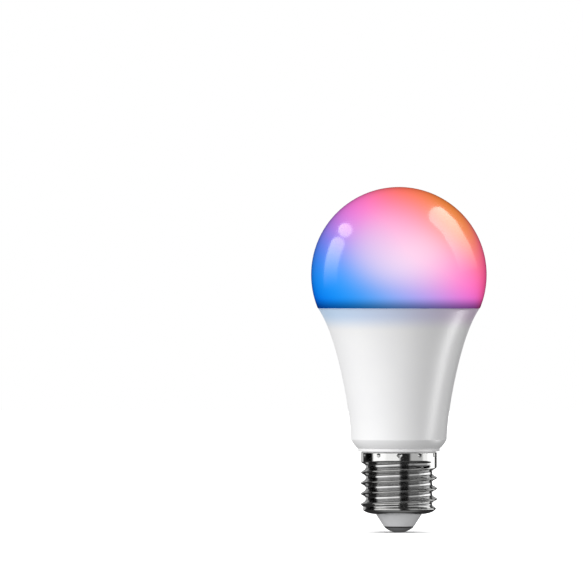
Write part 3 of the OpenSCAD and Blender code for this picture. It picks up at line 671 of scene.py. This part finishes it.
tape = Finish("yellow_tape", {"Coat Weight": 0.6, "Coat Roughness": 0.1})
tape_top_h = box_mm("transformer_winding")[1].z
tape_turns = tape.node("TexWave", {"bands_direction": "Z"}, {
    "Vector": tape.point, "Scale": 0.9, "Distortion": 0.6, "Detail Scale": 0.4
}, "Fac")
tape_edge = tape.rise(tape.z, tape_top_h - 0.9, tape_top_h - 0.8)
tape.set("Base Color", tape.mix(tape_turns, (0.60, 0.38, 0.03), (0.78, 0.54, 0.06)))
tape.set("Roughness", 0.2 + tape_turns * 0.15)
tape.relief(tape_turns * 0.5 + tape_edge * 0.5, 0.05)
dress(tape, "transformer_winding")


# ---- Choke winding
# Enamelled copper wire, wound by machine between the flanges of the ferrite drum. Only its close
# outer layer of turns is shaped, one rounded ridge for each.

wire_d = 0.32
coil_low, coil_high = box_mm("choke_winding")
coil_x = (coil_low.x + coil_high.x) / 2
coil_y = (coil_low.y + coil_high.y) / 2
coil_r = (coil_high.x - coil_low.x) / 2
coil_bore_r = 1.22
coil_turns = int((coil_high.z - coil_low.z) / wire_d)
coil_start = (coil_low.z + coil_high.z - (coil_turns - 1) * wire_d) / 2
outer_turn_r = coil_r - wire_d / 2
coil_outline = [(coil_bore_r, coil_low.z), (outer_turn_r, coil_low.z)]
for i in range(coil_turns):
    coil_outline += arc((outer_turn_r, coil_start + i * wire_d), wire_d / 2, -80, 80, 6)
coil_outline += [(outer_turn_r, coil_high.z), (coil_bore_r, coil_high.z)]
coil = turned(coil_outline, 64)
bmesh.ops.translate(coil, verts=coil.verts, vec=(coil_x * mm, coil_y * mm, 0))
enamel = Finish("enamelled_copper", {"Metallic": 1.0, "Coat Weight": 0.8, "Coat Roughness": 0.08})
enamel.set("Base Color", enamel.mix(enamel.noise(0.5), (0.62, 0.22, 0.06), (0.80, 0.34, 0.12)))
enamel.set("Roughness", 0.22 + enamel.noise(0.2) * 0.15)
fit("choke_coil", coil, enamel, "enamelled_wire", "choke_winding")


# ---- Small parts of the driver
# A film capacitor in a red epoxy case, a fusible resistor with colour bands, chips in black moulding
# compound with tinned legs, and chip resistors with tinned ends.

epoxy = Finish("red_epoxy", {"Coat Weight": 0.4, "Coat Roughness": 0.15})
epoxy_grain = epoxy.noise(0.4, 3.0)
epoxy.set("Base Color", epoxy.mix(epoxy.noise(2.0), (0.40, 0.045, 0.03), (0.52, 0.07, 0.04)))
epoxy.set("Roughness", 0.3 + epoxy_grain * 0.15)
epoxy.relief(epoxy_grain, 0.02)
dress(epoxy, "film_capacitor")

body_low = box_mm("fusible_resistor")[0]
body_r = 1.4
body_length = 7
lead_end = 1
lacquer = Finish("resistor_lacquer", {"Coat Weight": 0.4})
body_side = lacquer.x - (body_low.x + body_r)
body_front = lacquer.y - (body_low.y + body_r)
from_middle = (body_side * body_side + body_front * body_front) ** 0.5
off_body = lacquer.rise(from_middle, body_r + 0.02, body_r + 0.1)
body_place = (lacquer.z - (body_low.z + lead_end)) / body_length
body_ends = lacquer.rise(body_place, -0.02, 0.0) * (1 - lacquer.rise(body_place, 1.0, 1.02))
grey = (0.16, 0.22, 0.28)
bands = [(0.14, (0.55, 0.30, 0.03)), (0.30, (0.02, 0.02, 0.02)), (0.46, (0.30, 0.02, 0.02)),
         (0.80, (0.62, 0.45, 0.12))]
band_stops = [(0, grey)]
for place, band in bands:
    band_stops += [(place - 0.01, grey), (place, band), (place + 0.08, band), (place + 0.09, grey)]
painted = lacquer.node("ValToRGB", {"stops": band_stops}, {0: body_place})
on_body = body_ends * (1 - off_body)
lacquer.set("Base Color", lacquer.mix(on_body, (0.8, 0.8, 0.78), painted))
lacquer.set("Metallic", 1 - on_body)
lacquer.set("Roughness", 0.3 + lacquer.noise(0.3) * 0.15)
dress(lacquer, "fusible_resistor")

leg_reach = 1
for node in ("bridge_rectifier", "power_chip", "dimming_chip"):
    chip_low, chip_high = box_mm(node)
    half_body = (chip_high.x - chip_low.x) / 2 - leg_reach
    compound = Finish(node + "_moulding", {"Specular IOR Level": 0.4})
    chip_right = compound.x - (chip_low.x + chip_high.x) / 2
    legs = compound.rise(chip_right.math("ABSOLUTE", chip_right), half_body, half_body + 0.03)
    dot_x = chip_right + (half_body - 0.7)
    dot_z = compound.z - (chip_high.z - 0.8)
    dimple = compound.rise(0 - (dot_x * dot_x + dot_z * dot_z) ** 0.5, -0.35, -0.28)
    chip_grain = compound.noise(0.08, 3.0)
    chip_tone = compound.mix(dimple, (0.022, 0.022, 0.024), (0.06, 0.06, 0.062))
    compound.set("Base Color", compound.mix(legs, chip_tone, (0.78, 0.78, 0.76)))
    compound.set("Metallic", legs)
    compound.set("Roughness", 0.5 - legs * 0.2 + chip_grain * 0.15)
    compound.relief(chip_grain * 0.3 - dimple, 0.04)
    dress(compound, node)

resistor_pitch = 3.4
film_half_w = 0.66
film = Finish("thick_film", {"Specular IOR Level": 0.4})
shifted = film.x + resistor_pitch / 2
off_middle = film.x.math("FLOORED_MODULO", shifted, resistor_pitch) - resistor_pitch / 2
tinned_ends = film.rise(off_middle.math("ABSOLUTE", off_middle), film_half_w, film_half_w + 0.04)
film.set("Base Color", film.mix(tinned_ends, (0.03, 0.03, 0.035), (0.78, 0.78, 0.77)))
film.set("Metallic", tinned_ends)
film.set("Roughness", 0.3 + film.noise(0.15) * 0.2)
dress(film, "chip_resistors")


# ---- Pins and leads
# Gilt pins in a black nylon block join the driver board to the LED board. A red sleeved lead runs to
# the contact, and a bare tinned lead is trapped under the shell.

nylon = Finish("black_nylon", {"Specular IOR Level": 0.4})
nylon_grain = nylon.noise(0.15, 3.0)
nylon.set("Base Color", nylon.mix(nylon.noise(1.0), (0.02, 0.02, 0.022), (0.04, 0.04, 0.042)))
nylon.set("Roughness", 0.42 + nylon_grain * 0.18)
nylon.relief(nylon_grain, 0.015)
dress(nylon, "header_block")

metals = {
    # what it is plated with or made of, the tone's two ends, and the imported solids
    "thin_gilding": ((0.78, 0.52, 0.18), (0.90, 0.66, 0.28), ("header_pins",)),
    "bare_copper": ((0.72, 0.34, 0.18), (0.86, 0.46, 0.27), ("radio_antenna",)),
    "tinned_wire": ((0.66, 0.66, 0.64), (0.82, 0.82, 0.80), ("neutral_lead",)),
    "tinned_can": ((0.62, 0.62, 0.61), (0.74, 0.74, 0.73), ("radio_shield",))
}
for name, (dull, bright, nodes) in metals.items():
    metal = Finish(name, {"Metallic": 1.0})
    drawn_lines = metal.noise(0.15, 4.0, (1, 1, 0.1))
    metal.set("Base Color", metal.mix(metal.noise(0.8), dull, bright))
    metal.set("Roughness", 0.22 + drawn_lines * 0.2)
    metal.relief(drawn_lines, 0.006)
    dress(metal, *nodes)

vinyl = Finish("red_vinyl", {"Specular IOR Level": 0.45})
vinyl_clouds = vinyl.noise(0.7)
vinyl.set("Base Color", vinyl.mix(vinyl_clouds, (0.42, 0.015, 0.012), (0.55, 0.03, 0.02)))
vinyl.set("Roughness", 0.32 + vinyl_clouds * 0.15)
vinyl.relief(vinyl_clouds, 0.015)
dress(vinyl, "live_lead")


# ---- LED board
# An aluminium board under white mask, which hides the copper rings that join the LEDs. The white LEDs
# stand in one ring, warm and cool in turn, and the colour LEDs in a smaller ring inside it.

board_low, board_high = box_mm("led_board")
led_board_r = (board_high.x - board_low.x) / 2
white_ring_r = led_board_r - 3
colour_ring_r = white_ring_r - 6.8
white_count = 12
colour_count = 6
track_half_w = 1.5
white_pad_r = 2.1
colour_pad_r = 3.2


def off_ring(finish, count, ring_r):
    """Distance in millimetres to the nearest of the LEDs that stand evenly in a ring."""
    pitch = math.tau / count
    angle = finish.x.math("ARCTAN2", finish.y, finish.x)
    off = angle.math("FLOORED_MODULO", angle, pitch) - pitch / 2
    out = finish.radius * off.math("COSINE", off) - ring_r
    across = finish.radius * off.math("SINE", off)
    return (out * out + across * across) ** 0.5


white_mask = Finish("white_mask", {"Specular IOR Level": 0.5, "Coat Weight": 0.2})
rings = 0
for ring_r in (white_ring_r, colour_ring_r):
    off_line = white_mask.radius - ring_r
    off_line = off_line.math("ABSOLUTE", off_line)
    rings = white_mask.rise(0 - off_line, -track_half_w, -track_half_w + 0.1) + rings
off_white = off_ring(white_mask, white_count, white_ring_r)
white_pads = white_mask.rise(0 - off_white, -white_pad_r, -white_pad_r + 0.1)
off_colour = off_ring(white_mask, colour_count, colour_ring_r)
colour_pads = white_mask.rise(0 - off_colour, -colour_pad_r, -colour_pad_r + 0.1)
mask_clouds = white_mask.noise(2.5)
white_mask.set("Base Color", white_mask.mix(mask_clouds, (0.80, 0.80, 0.79), (0.86, 0.86, 0.85)))
white_mask.set("Roughness", 0.35 + mask_clouds * 0.12)
white_mask.relief(rings * 0.6 + white_pads * 0.4 + colour_pads * 0.4, 0.035)
dress(white_mask, "led_board")

leds = {
    # a node, how many of its kind stand in the ring, the ring, the well's radius, the gel and its glow
    "warm_white_leds": (white_count, white_ring_r, 1.15, (0.90, 0.42, 0.06), 0.2),
    "cool_white_leds": (white_count, white_ring_r, 1.15, (0.90, 0.74, 0.12), 0.2),
    "colour_leds": (colour_count, colour_ring_r, 2.0, (0.66, 0.52, 0.80), 1.2)
}
for node, (count, ring_r, well_r, gel, glow) in leds.items():
    package = Finish(node + "_package", {"Specular IOR Level": 0.5, "Emission Strength": glow})
    in_well = package.rise(0 - off_ring(package, count, ring_r), -well_r, -well_r + 0.06)
    gel_clouds = package.noise(0.3)
    package.set("Base Color", package.mix(in_well, (0.84, 0.84, 0.82), gel))
    package.set("Emission Color", package.mix(in_well, (0, 0, 0), gel))
    package.set("Roughness", 0.45 - in_well * 0.3 + gel_clouds * 0.1)
    package.relief(gel_clouds, 0.01)
    dress(package, node)

zinc = Finish("zinc_plate", {"Metallic": 1.0})
turned_thread = zinc.node(
    "TexWave", {"bands_direction": "Z"}, {"Vector": zinc.point, "Scale": 0.7}, "Fac")
under_head = 1 - zinc.rise(zinc.z, board_low.z - 0.4, board_low.z)
zinc_clouds = zinc.noise(0.5)
zinc.set("Base Color", zinc.mix(zinc_clouds, (0.58, 0.59, 0.61), (0.74, 0.75, 0.76)))
zinc.set("Roughness", 0.25 + zinc_clouds * 0.18)
zinc.relief(turned_thread * under_head, 0.12)
dress(zinc, "board_screws")


# ---- Globe seal
# A bead of white silicone, laid wet round the lip, with a slightly slumped skin. It closes the joint
# between the globe's neck ring and the housing.

silicone = Finish("white_silicone", {"Specular IOR Level": 0.4})
slump = silicone.noise(1.8)
silicone.set("Base Color", silicone.mix(slump, (0.76, 0.76, 0.75), (0.83, 0.83, 0.82)))
silicone.set("Roughness", 0.36 + slump * 0.14)
silicone.relief(slump, 0.05)
dress(silicone, "globe_seal")


# ---- Globe
# Opal polycarbonate, blown thin and cemented into the housing by its neck ring. Lit by the colour
# LEDs: each throws its own hue on a side of the globe, and they mix to a pale pink in front.

globe_r = 30.0
globe_wall = 1.2
seam_angle = 22.5
globe_h = seam_h + globe_r * math.sin(math.radians(seam_angle))
neck_ring_foot_h = seam_h - 2.8
neck_ring_r = housing_r(neck_ring_foot_h) - 1.65
shelf_h = seam_h + globe_wall
inner_r = globe_r - globe_wall
inner_start = math.degrees(math.asin((shelf_h - globe_h) / inner_r))
foot_r = globe_r * math.cos(math.radians(seam_angle))
globe_outline = (
    [(0, globe_h + globe_r)]
    + arc((0, globe_h), globe_r, 89, 0.6 - seam_angle, 110)
    + rounded([(foot_r, seam_h + 0.02, 0.12), (neck_ring_r, seam_h, 0.1),
               (neck_ring_r, neck_ring_foot_h, 0.3), (neck_ring_r - globe_wall, neck_ring_foot_h, 0.3),
               (neck_ring_r - globe_wall, shelf_h, 0.3)])
    + arc((0, globe_h), inner_r, inner_start, 89, 60)
    + [(0, globe_h + inner_r)]
)

opal = Finish("lit_opal", {"Roughness": 0.3, "Specular IOR Level": 0.1, "Coat Weight": 1.0,
                           "Coat Roughness": 0.12, "Coat IOR": 1.5, "Emission Strength": 0.86})
from_centre = opal.node("VectorMath", {"operation": "SUBTRACT"}, {0: opal.point, 1: (0, 0, globe_h)})
facing = opal.node("VectorMath", {"operation": "NORMALIZE"}, {0: from_centre})
hue_sharpness = 24
hues = {
    # round the globe from its front, up from its middle, and the light there
    "deep_blue": (-55, -35, (0.00, 0.05, 0.85)),
    "azure": (-20, -30, (0.00, 0.30, 0.90)),
    "sky": (5, -40, (0.15, 0.75, 1.25)),
    "indigo": (30, -45, (0.00, 0.10, 0.85)),
    "rose": (90, 15, (1.05, 0.10, 0.35)),
    "orange": (55, 35, (1.00, 0.30, 0.05)),
    "amber": (40, 45, (0.95, 0.30, 0.00)),
    "coral": (5, 65, (1.25, 0.20, 0.10)),
    "pink": (-45, 45, (1.15, 0.20, 0.75)),
    "blue": (-60, 20, (0.00, 0.25, 1.00)),
    "pearl": (15, 10, (1.15, 1.10, 1.10)),
    "lilac": (-15, 20, (0.75, 0.65, 0.95)),
    "magenta": (35, 0, (1.25, 0.15, 0.60)),
    "cornflower": (-45, -10, (0.00, 0.40, 1.10)),
    "violet": (15, -20, (0.20, 0.15, 0.85)),
    "salmon": (10, 35, (1.25, 0.30, 0.70)),
    "back_azure": (-125, -20, (0.02, 0.18, 0.90)),
    "back_violet": (-140, 30, (0.35, 0.18, 0.92)),
    "back_lilac": (175, -20, (0.40, 0.30, 0.95)),
    "back_pink": (170, 45, (1.00, 0.28, 0.55)),
    "back_magenta": (125, -15, (0.92, 0.11, 0.50)),
    "back_coral": (120, 35, (0.95, 0.18, 0.10)),
    "back_pearl": (170, 10, (0.98, 0.60, 0.86))
}
total = 0
blend = None
for turn, tilt, hue in hues.values():
    turn, tilt = math.radians(turn), math.radians(tilt)
    aim = (math.sin(turn) * math.cos(tilt), -math.cos(turn) * math.cos(tilt), math.sin(tilt))
    near = opal.node("VectorMath", {"operation": "DOT_PRODUCT"}, {0: facing, 1: aim}, "Value")
    share = (0.5 + near * 0.5) ** hue_sharpness
    part = opal.node("VectorMath", {"operation": "SCALE"}, {0: hue, "Scale": share})
    total = share + total
    blend = part if blend is None else opal.node("VectorMath", {"operation": "ADD"}, {0: blend, 1: part})
light = opal.node("VectorMath", {"operation": "SCALE"}, {0: blend, "Scale": 1 / total})
# The glow is dimmed at the globe's foot, close over the seam, where less of the LEDs' light reaches
foot_dim = 0.3 + 0.7 * opal.rise(opal.z, seam_h - 0.6, seam_h + 4.2)
shown = opal.node("VectorMath", {"operation": "SCALE"}, {0: light, "Scale": foot_dim})
opal.set("Emission Color", shown)
# Painted light: the LEDs' coloured light, with the dimmed foot as painted shade, is painted into the
# base colour too, at a third of the glow
opal.set("Base Color", opal.node("VectorMath", {"operation": "SCALE"}, {0: shown, "Scale": 0.3}))
opal.relief(opal.noise(3.5), 0.006)
globe = fit("opal_globe", turned(globe_outline, 256), opal, "opal_globe", "diffuser_globe")


# ---- Studio
# A wide white floor under a soft overhead light, a large soft window at the left, and a ring of
# white and black boards round the bulb that shows in its metal. Three bent reflectors show on the globe.

camera_place = Vector((-0.0367, -3.0, 0.0826))
camera_data = bpy.data.cameras.new("camera")
camera_data.lens = 542
camera = bpy.data.objects.new("camera", camera_data)
camera.location = camera_place
camera.rotation_euler = (math.radians(90), 0, 0)
bpy.context.scene.collection.objects.link(camera)
bpy.context.scene.camera = camera
bpy.context.scene.view_settings.view_transform = "Standard"


def set_up(name, points, faces, finish):
    """A piece of the studio, from points in metres."""
    mesh = bpy.data.meshes.new(name)
    mesh.from_pydata(points, [], faces)
    mesh.materials.append(finish)
    made = bpy.data.objects.new(name, mesh)
    bpy.context.scene.collection.objects.link(made)
    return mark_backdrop(made) or made


def light_only(lamp, pieces):
    """Keeps a lamp's light to some pieces."""
    group = bpy.data.collections.new(lamp.name + "_lights")
    for piece in pieces:
        group.objects.link(piece)
    lamp.light_linking.receiver_collection = group


def hide_from(thing, *rays):
    """Keeps a thing of the studio out of some kinds of ray."""
    for ray in rays:
        setattr(thing, "visible_" + ray, False)


bulb = [o for o in bpy.data.objects if o.type == "MESH"]
cool_pieces = [o for o in bulb if o != globe]

paint = Finish("floor_paint", {"Base Color": (0.9, 0.9, 0.9), "Specular IOR Level": 0.0})
paint.set("Roughness", 0.8 + paint.noise(40) * 0.1)
floor_half = 3.0
floor_corners = [(x * floor_half, y * floor_half, 0) for x, y in ((-1, -1), (1, -1), (1, 1), (-1, 1))]
floor = set_up("floor", floor_corners, [(0, 1, 2, 3)], paint.material)
hide_from(floor, "glossy", "diffuse")

sky = bpy.data.lights.new("overhead", "SUN")
sky.energy = 5.0
sky.angle = math.radians(100)
overhead = bpy.data.objects.new("overhead", sky)
bpy.context.scene.collection.objects.link(overhead)
hide_from(overhead, "glossy")
light_only(overhead, [floor])

bulb_middle = Vector((0, 0, 0.06))


def softbox(name, turn, tilt, roll, away, size, brightness, pieces):
    """A flat soft light that faces the bulb, with its place given round the bulb and up from level."""
    lamp = bpy.data.lights.new(name, "AREA")
    lamp.shape = "RECTANGLE"
    lamp.size, lamp.size_y = size
    lamp.energy = brightness * math.pi * size[0] * size[1]
    turn, tilt = math.radians(turn), math.radians(tilt)
    made = bpy.data.objects.new(name, lamp)
    aim = Vector((math.sin(turn) * math.cos(tilt), -math.cos(turn) * math.cos(tilt), math.sin(tilt)))
    made.location = bulb_middle + aim * away
    leaning = Quaternion((0, 0, 1), math.radians(roll))
    made.rotation_euler = (aim.to_track_quat("Z", "Y") @ leaning).to_euler()
    bpy.context.scene.collection.objects.link(made)
    hide_from(made, "camera")
    light_only(made, pieces)
    return made


window = softbox("window", -50, 14, 0, 1.2, (0.9, 1.3), 4.35, cool_pieces)
hide_from(window, "glossy")
# A slanted strip that only the housing's gloss sees, through the floor
edge_light = softbox("edge_light", 91, -18, 59, 0.5, (0.09, 0.58), 15.0, [housing])
edge_light.light_linking.blocker_collection = edge_light.light_linking.receiver_collection
hide_from(edge_light, "diffuse")
low_fill = softbox("low_fill", 25, 1, 0, 0.6, (0.5, 0.06), 12.0, [insulator])
hide_from(low_fill, "glossy")
back_window = softbox("back_window", 165, 15, 0, 1.2, (1.2, 1.3), 1.3, cool_pieces)
hide_from(back_window, "glossy")

# The boards stand round the bulb as one wall: where each starts, in degrees from the front, and how
# bright it is up to the next
boards = [
    (-180, 0.6), (-137, 0.02), (-85, 1.2), (-40, 1.0), (2, 0.02), (34, 0.5), (76, 1.0), (96, 1.35),
    (137, 0.02), (160, 0.7)
]
soft_edge = 2.5
stops = []
for i, (start, bright) in enumerate(boards):
    end = boards[i + 1][0] if i + 1 < len(boards) else 180
    low = start + (soft_edge if i else 0)
    high = end - (soft_edge if end < 180 else 0)
    stops += [((low + 180) / 360, (bright,) * 3), ((high + 180) / 360, (bright,) * 3)]
wall_paint = Finish("board_light", {"Base Color": (0, 0, 0), "Specular IOR Level": 0.0,
                                    "Emission Strength": 1.0})
around_bulb = wall_paint.x.math("ARCTAN2", wall_paint.x, 0 - wall_paint.y)
bands = wall_paint.node("ValToRGB", {"stops": stops}, {0: around_bulb / math.tau + 0.5})
over_boards = wall_paint.rise(wall_paint.z, 60, 120)
over_all = wall_paint.rise(wall_paint.z, 500, 560)
under_boards = wall_paint.rise(0 - wall_paint.z, 60, 130)
near_contact = wall_paint.rise(0 - wall_paint.z, 440, 560)
lit = wall_paint.mix(over_boards * 0.4, bands, (0.0, 0.0, 0.0))
lit = wall_paint.mix(over_all, lit, (0.05, 0.05, 0.05))
lit = wall_paint.mix(under_boards, lit, (0.03, 0.03, 0.03))
wall_paint.set("Emission Color", wall_paint.mix(near_contact, lit, (0.16, 0.16, 0.16)))
wall_paint.material.cycles.emission_sampling = "NONE"
wall_r = 0.62
wall_levels = [-89, -80, -65, -50, -40, -30, -20, -10, 0, 10, 20, 30, 40, 50, 65, 80, 89]
wall_steps = 72
wall_points = []
for level in wall_levels:
    tilt = math.radians(level)
    for i in range(wall_steps):
        turn = math.tau * i / wall_steps
        wall_points.append((wall_r * math.cos(tilt) * math.sin(turn),
                            -wall_r * math.cos(tilt) * math.cos(turn), wall_r * math.sin(tilt)))
wall_faces = []
for row in range(len(wall_levels) - 1):
    for i in range(wall_steps):
        n = (i + 1) % wall_steps
        wall_faces.append((row * wall_steps + i, row * wall_steps + n,
                           (row + 1) * wall_steps + n, (row + 1) * wall_steps + i))
last_row = (len(wall_levels) - 1) * wall_steps
wall_faces.append(tuple(last_row + i for i in range(wall_steps)))
wall_faces.append(tuple(reversed(range(wall_steps))))
board_wall = set_up("board_wall", wall_points, wall_faces, wall_paint.material)
hide_from(board_wall, "camera", "diffuse", "shadow", "transmission")
light_only(board_wall, cool_pieces)


def ribbon(name, line, half_w, brightness, fade_low, fade_high):
    """A curved reflector that shows on the globe along a line of (across, up), in globe radii."""
    away = 0.45
    round_end = 10
    across = (-1, -0.5, 0, 0.5, 1)
    wide = len(across)
    edges = []
    first = Vector(line[0])
    ahead = (Vector(line[1]) - first).normalized() if len(line) > 1 else Vector((0, -1))
    for i in range(1, round_end):
        a = math.pi / 2 * i / round_end
        edges.append((first - ahead * half_w * math.cos(a), ahead, half_w * math.sin(a)))
    if len(line) == 1:
        edges += [(first + ahead * half_w * math.sin(a), ahead, half_w * math.cos(a))
                  for a in (math.pi / 2 * i / round_end for i in range(round_end))]
    else:
        for before, here, after in zip([line[0]] + line, line, line[1:] + [line[-1]]):
            edges.append((Vector(here), (Vector(after) - Vector(before)).normalized(), half_w))
    points = []
    centre = Vector((0, 0, globe_h * mm))
    for here, along, half in edges:
        for side in across:
            spot = here + Vector((-along.y, along.x)) * half * side
            out = Vector((spot.x, -math.sqrt(max(0, 1 - spot.length_squared)), spot.y))
            surface = centre + out * globe_r * mm
            seen = (surface - camera_place).normalized()
            points.append(surface + (seen - 2 * seen.dot(out) * out) * away)
    faces = [(wide * i + k, wide * i + k + 1, wide * (i + 1) + k + 1, wide * (i + 1) + k)
             for i in range(len(edges) - 1) for k in range(wide - 1)]
    glow = Finish(name + "_glow", {"Base Color": (0, 0, 0), "Specular IOR Level": 0.0,
                                   "Emission Strength": brightness})
    glow.set("Emission Color", glow.mix(glow.rise(glow.z, fade_low, fade_high), (0, 0, 0), (1, 1, 1)))
    made = set_up(name, points, faces, glow.material)
    hide_from(made, "camera", "diffuse", "shadow", "transmission")
    light_only(made, [globe])


dot_place = [(-0.615, 0.505)]
left_line = [(-0.70, 0.35), (-0.73, 0.27), (-0.755, 0.19), (-0.772, 0.10), (-0.780, 0.02),
             (-0.782, -0.06), (-0.778, -0.15)]
right_line = [(0.435, 0.665), (0.49, 0.61), (0.545, 0.56), (0.60, 0.475), (0.65, 0.385),
              (0.70, 0.30), (0.735, 0.21), (0.765, 0.13), (0.785, 0.05)]
ribbon("dot_reflector", dot_place, 0.078, 4.2, 0, 1)
ribbon("left_reflector", left_line, 0.076, 4.0, -15, 330)
ribbon("right_reflector", right_line, 0.105, 4.0, 60, 470)

# The air round it all is plain white to look at, half as bright as a light, and nearly black in gloss
world = bpy.data.worlds.new("studio")
bpy.context.scene.world = world
world.use_nodes = True
air = Nodes(world.node_tree)
air_light = air.tree.nodes["Background"]
in_view = air.node("LightPath", output="Is Camera Ray")
in_gloss = air.node("LightPath", output="Is Glossy Ray")
plain_air = air.node("Mix", {}, {0: in_view, 2: 0.5, 3: 1.0})
air.feed(air_light.inputs["Strength"], air.node("Mix", {}, {0: in_gloss, 2: plain_air, 3: 0.05}))
air.feed(air_light.inputs["Color"], (1, 1, 1))
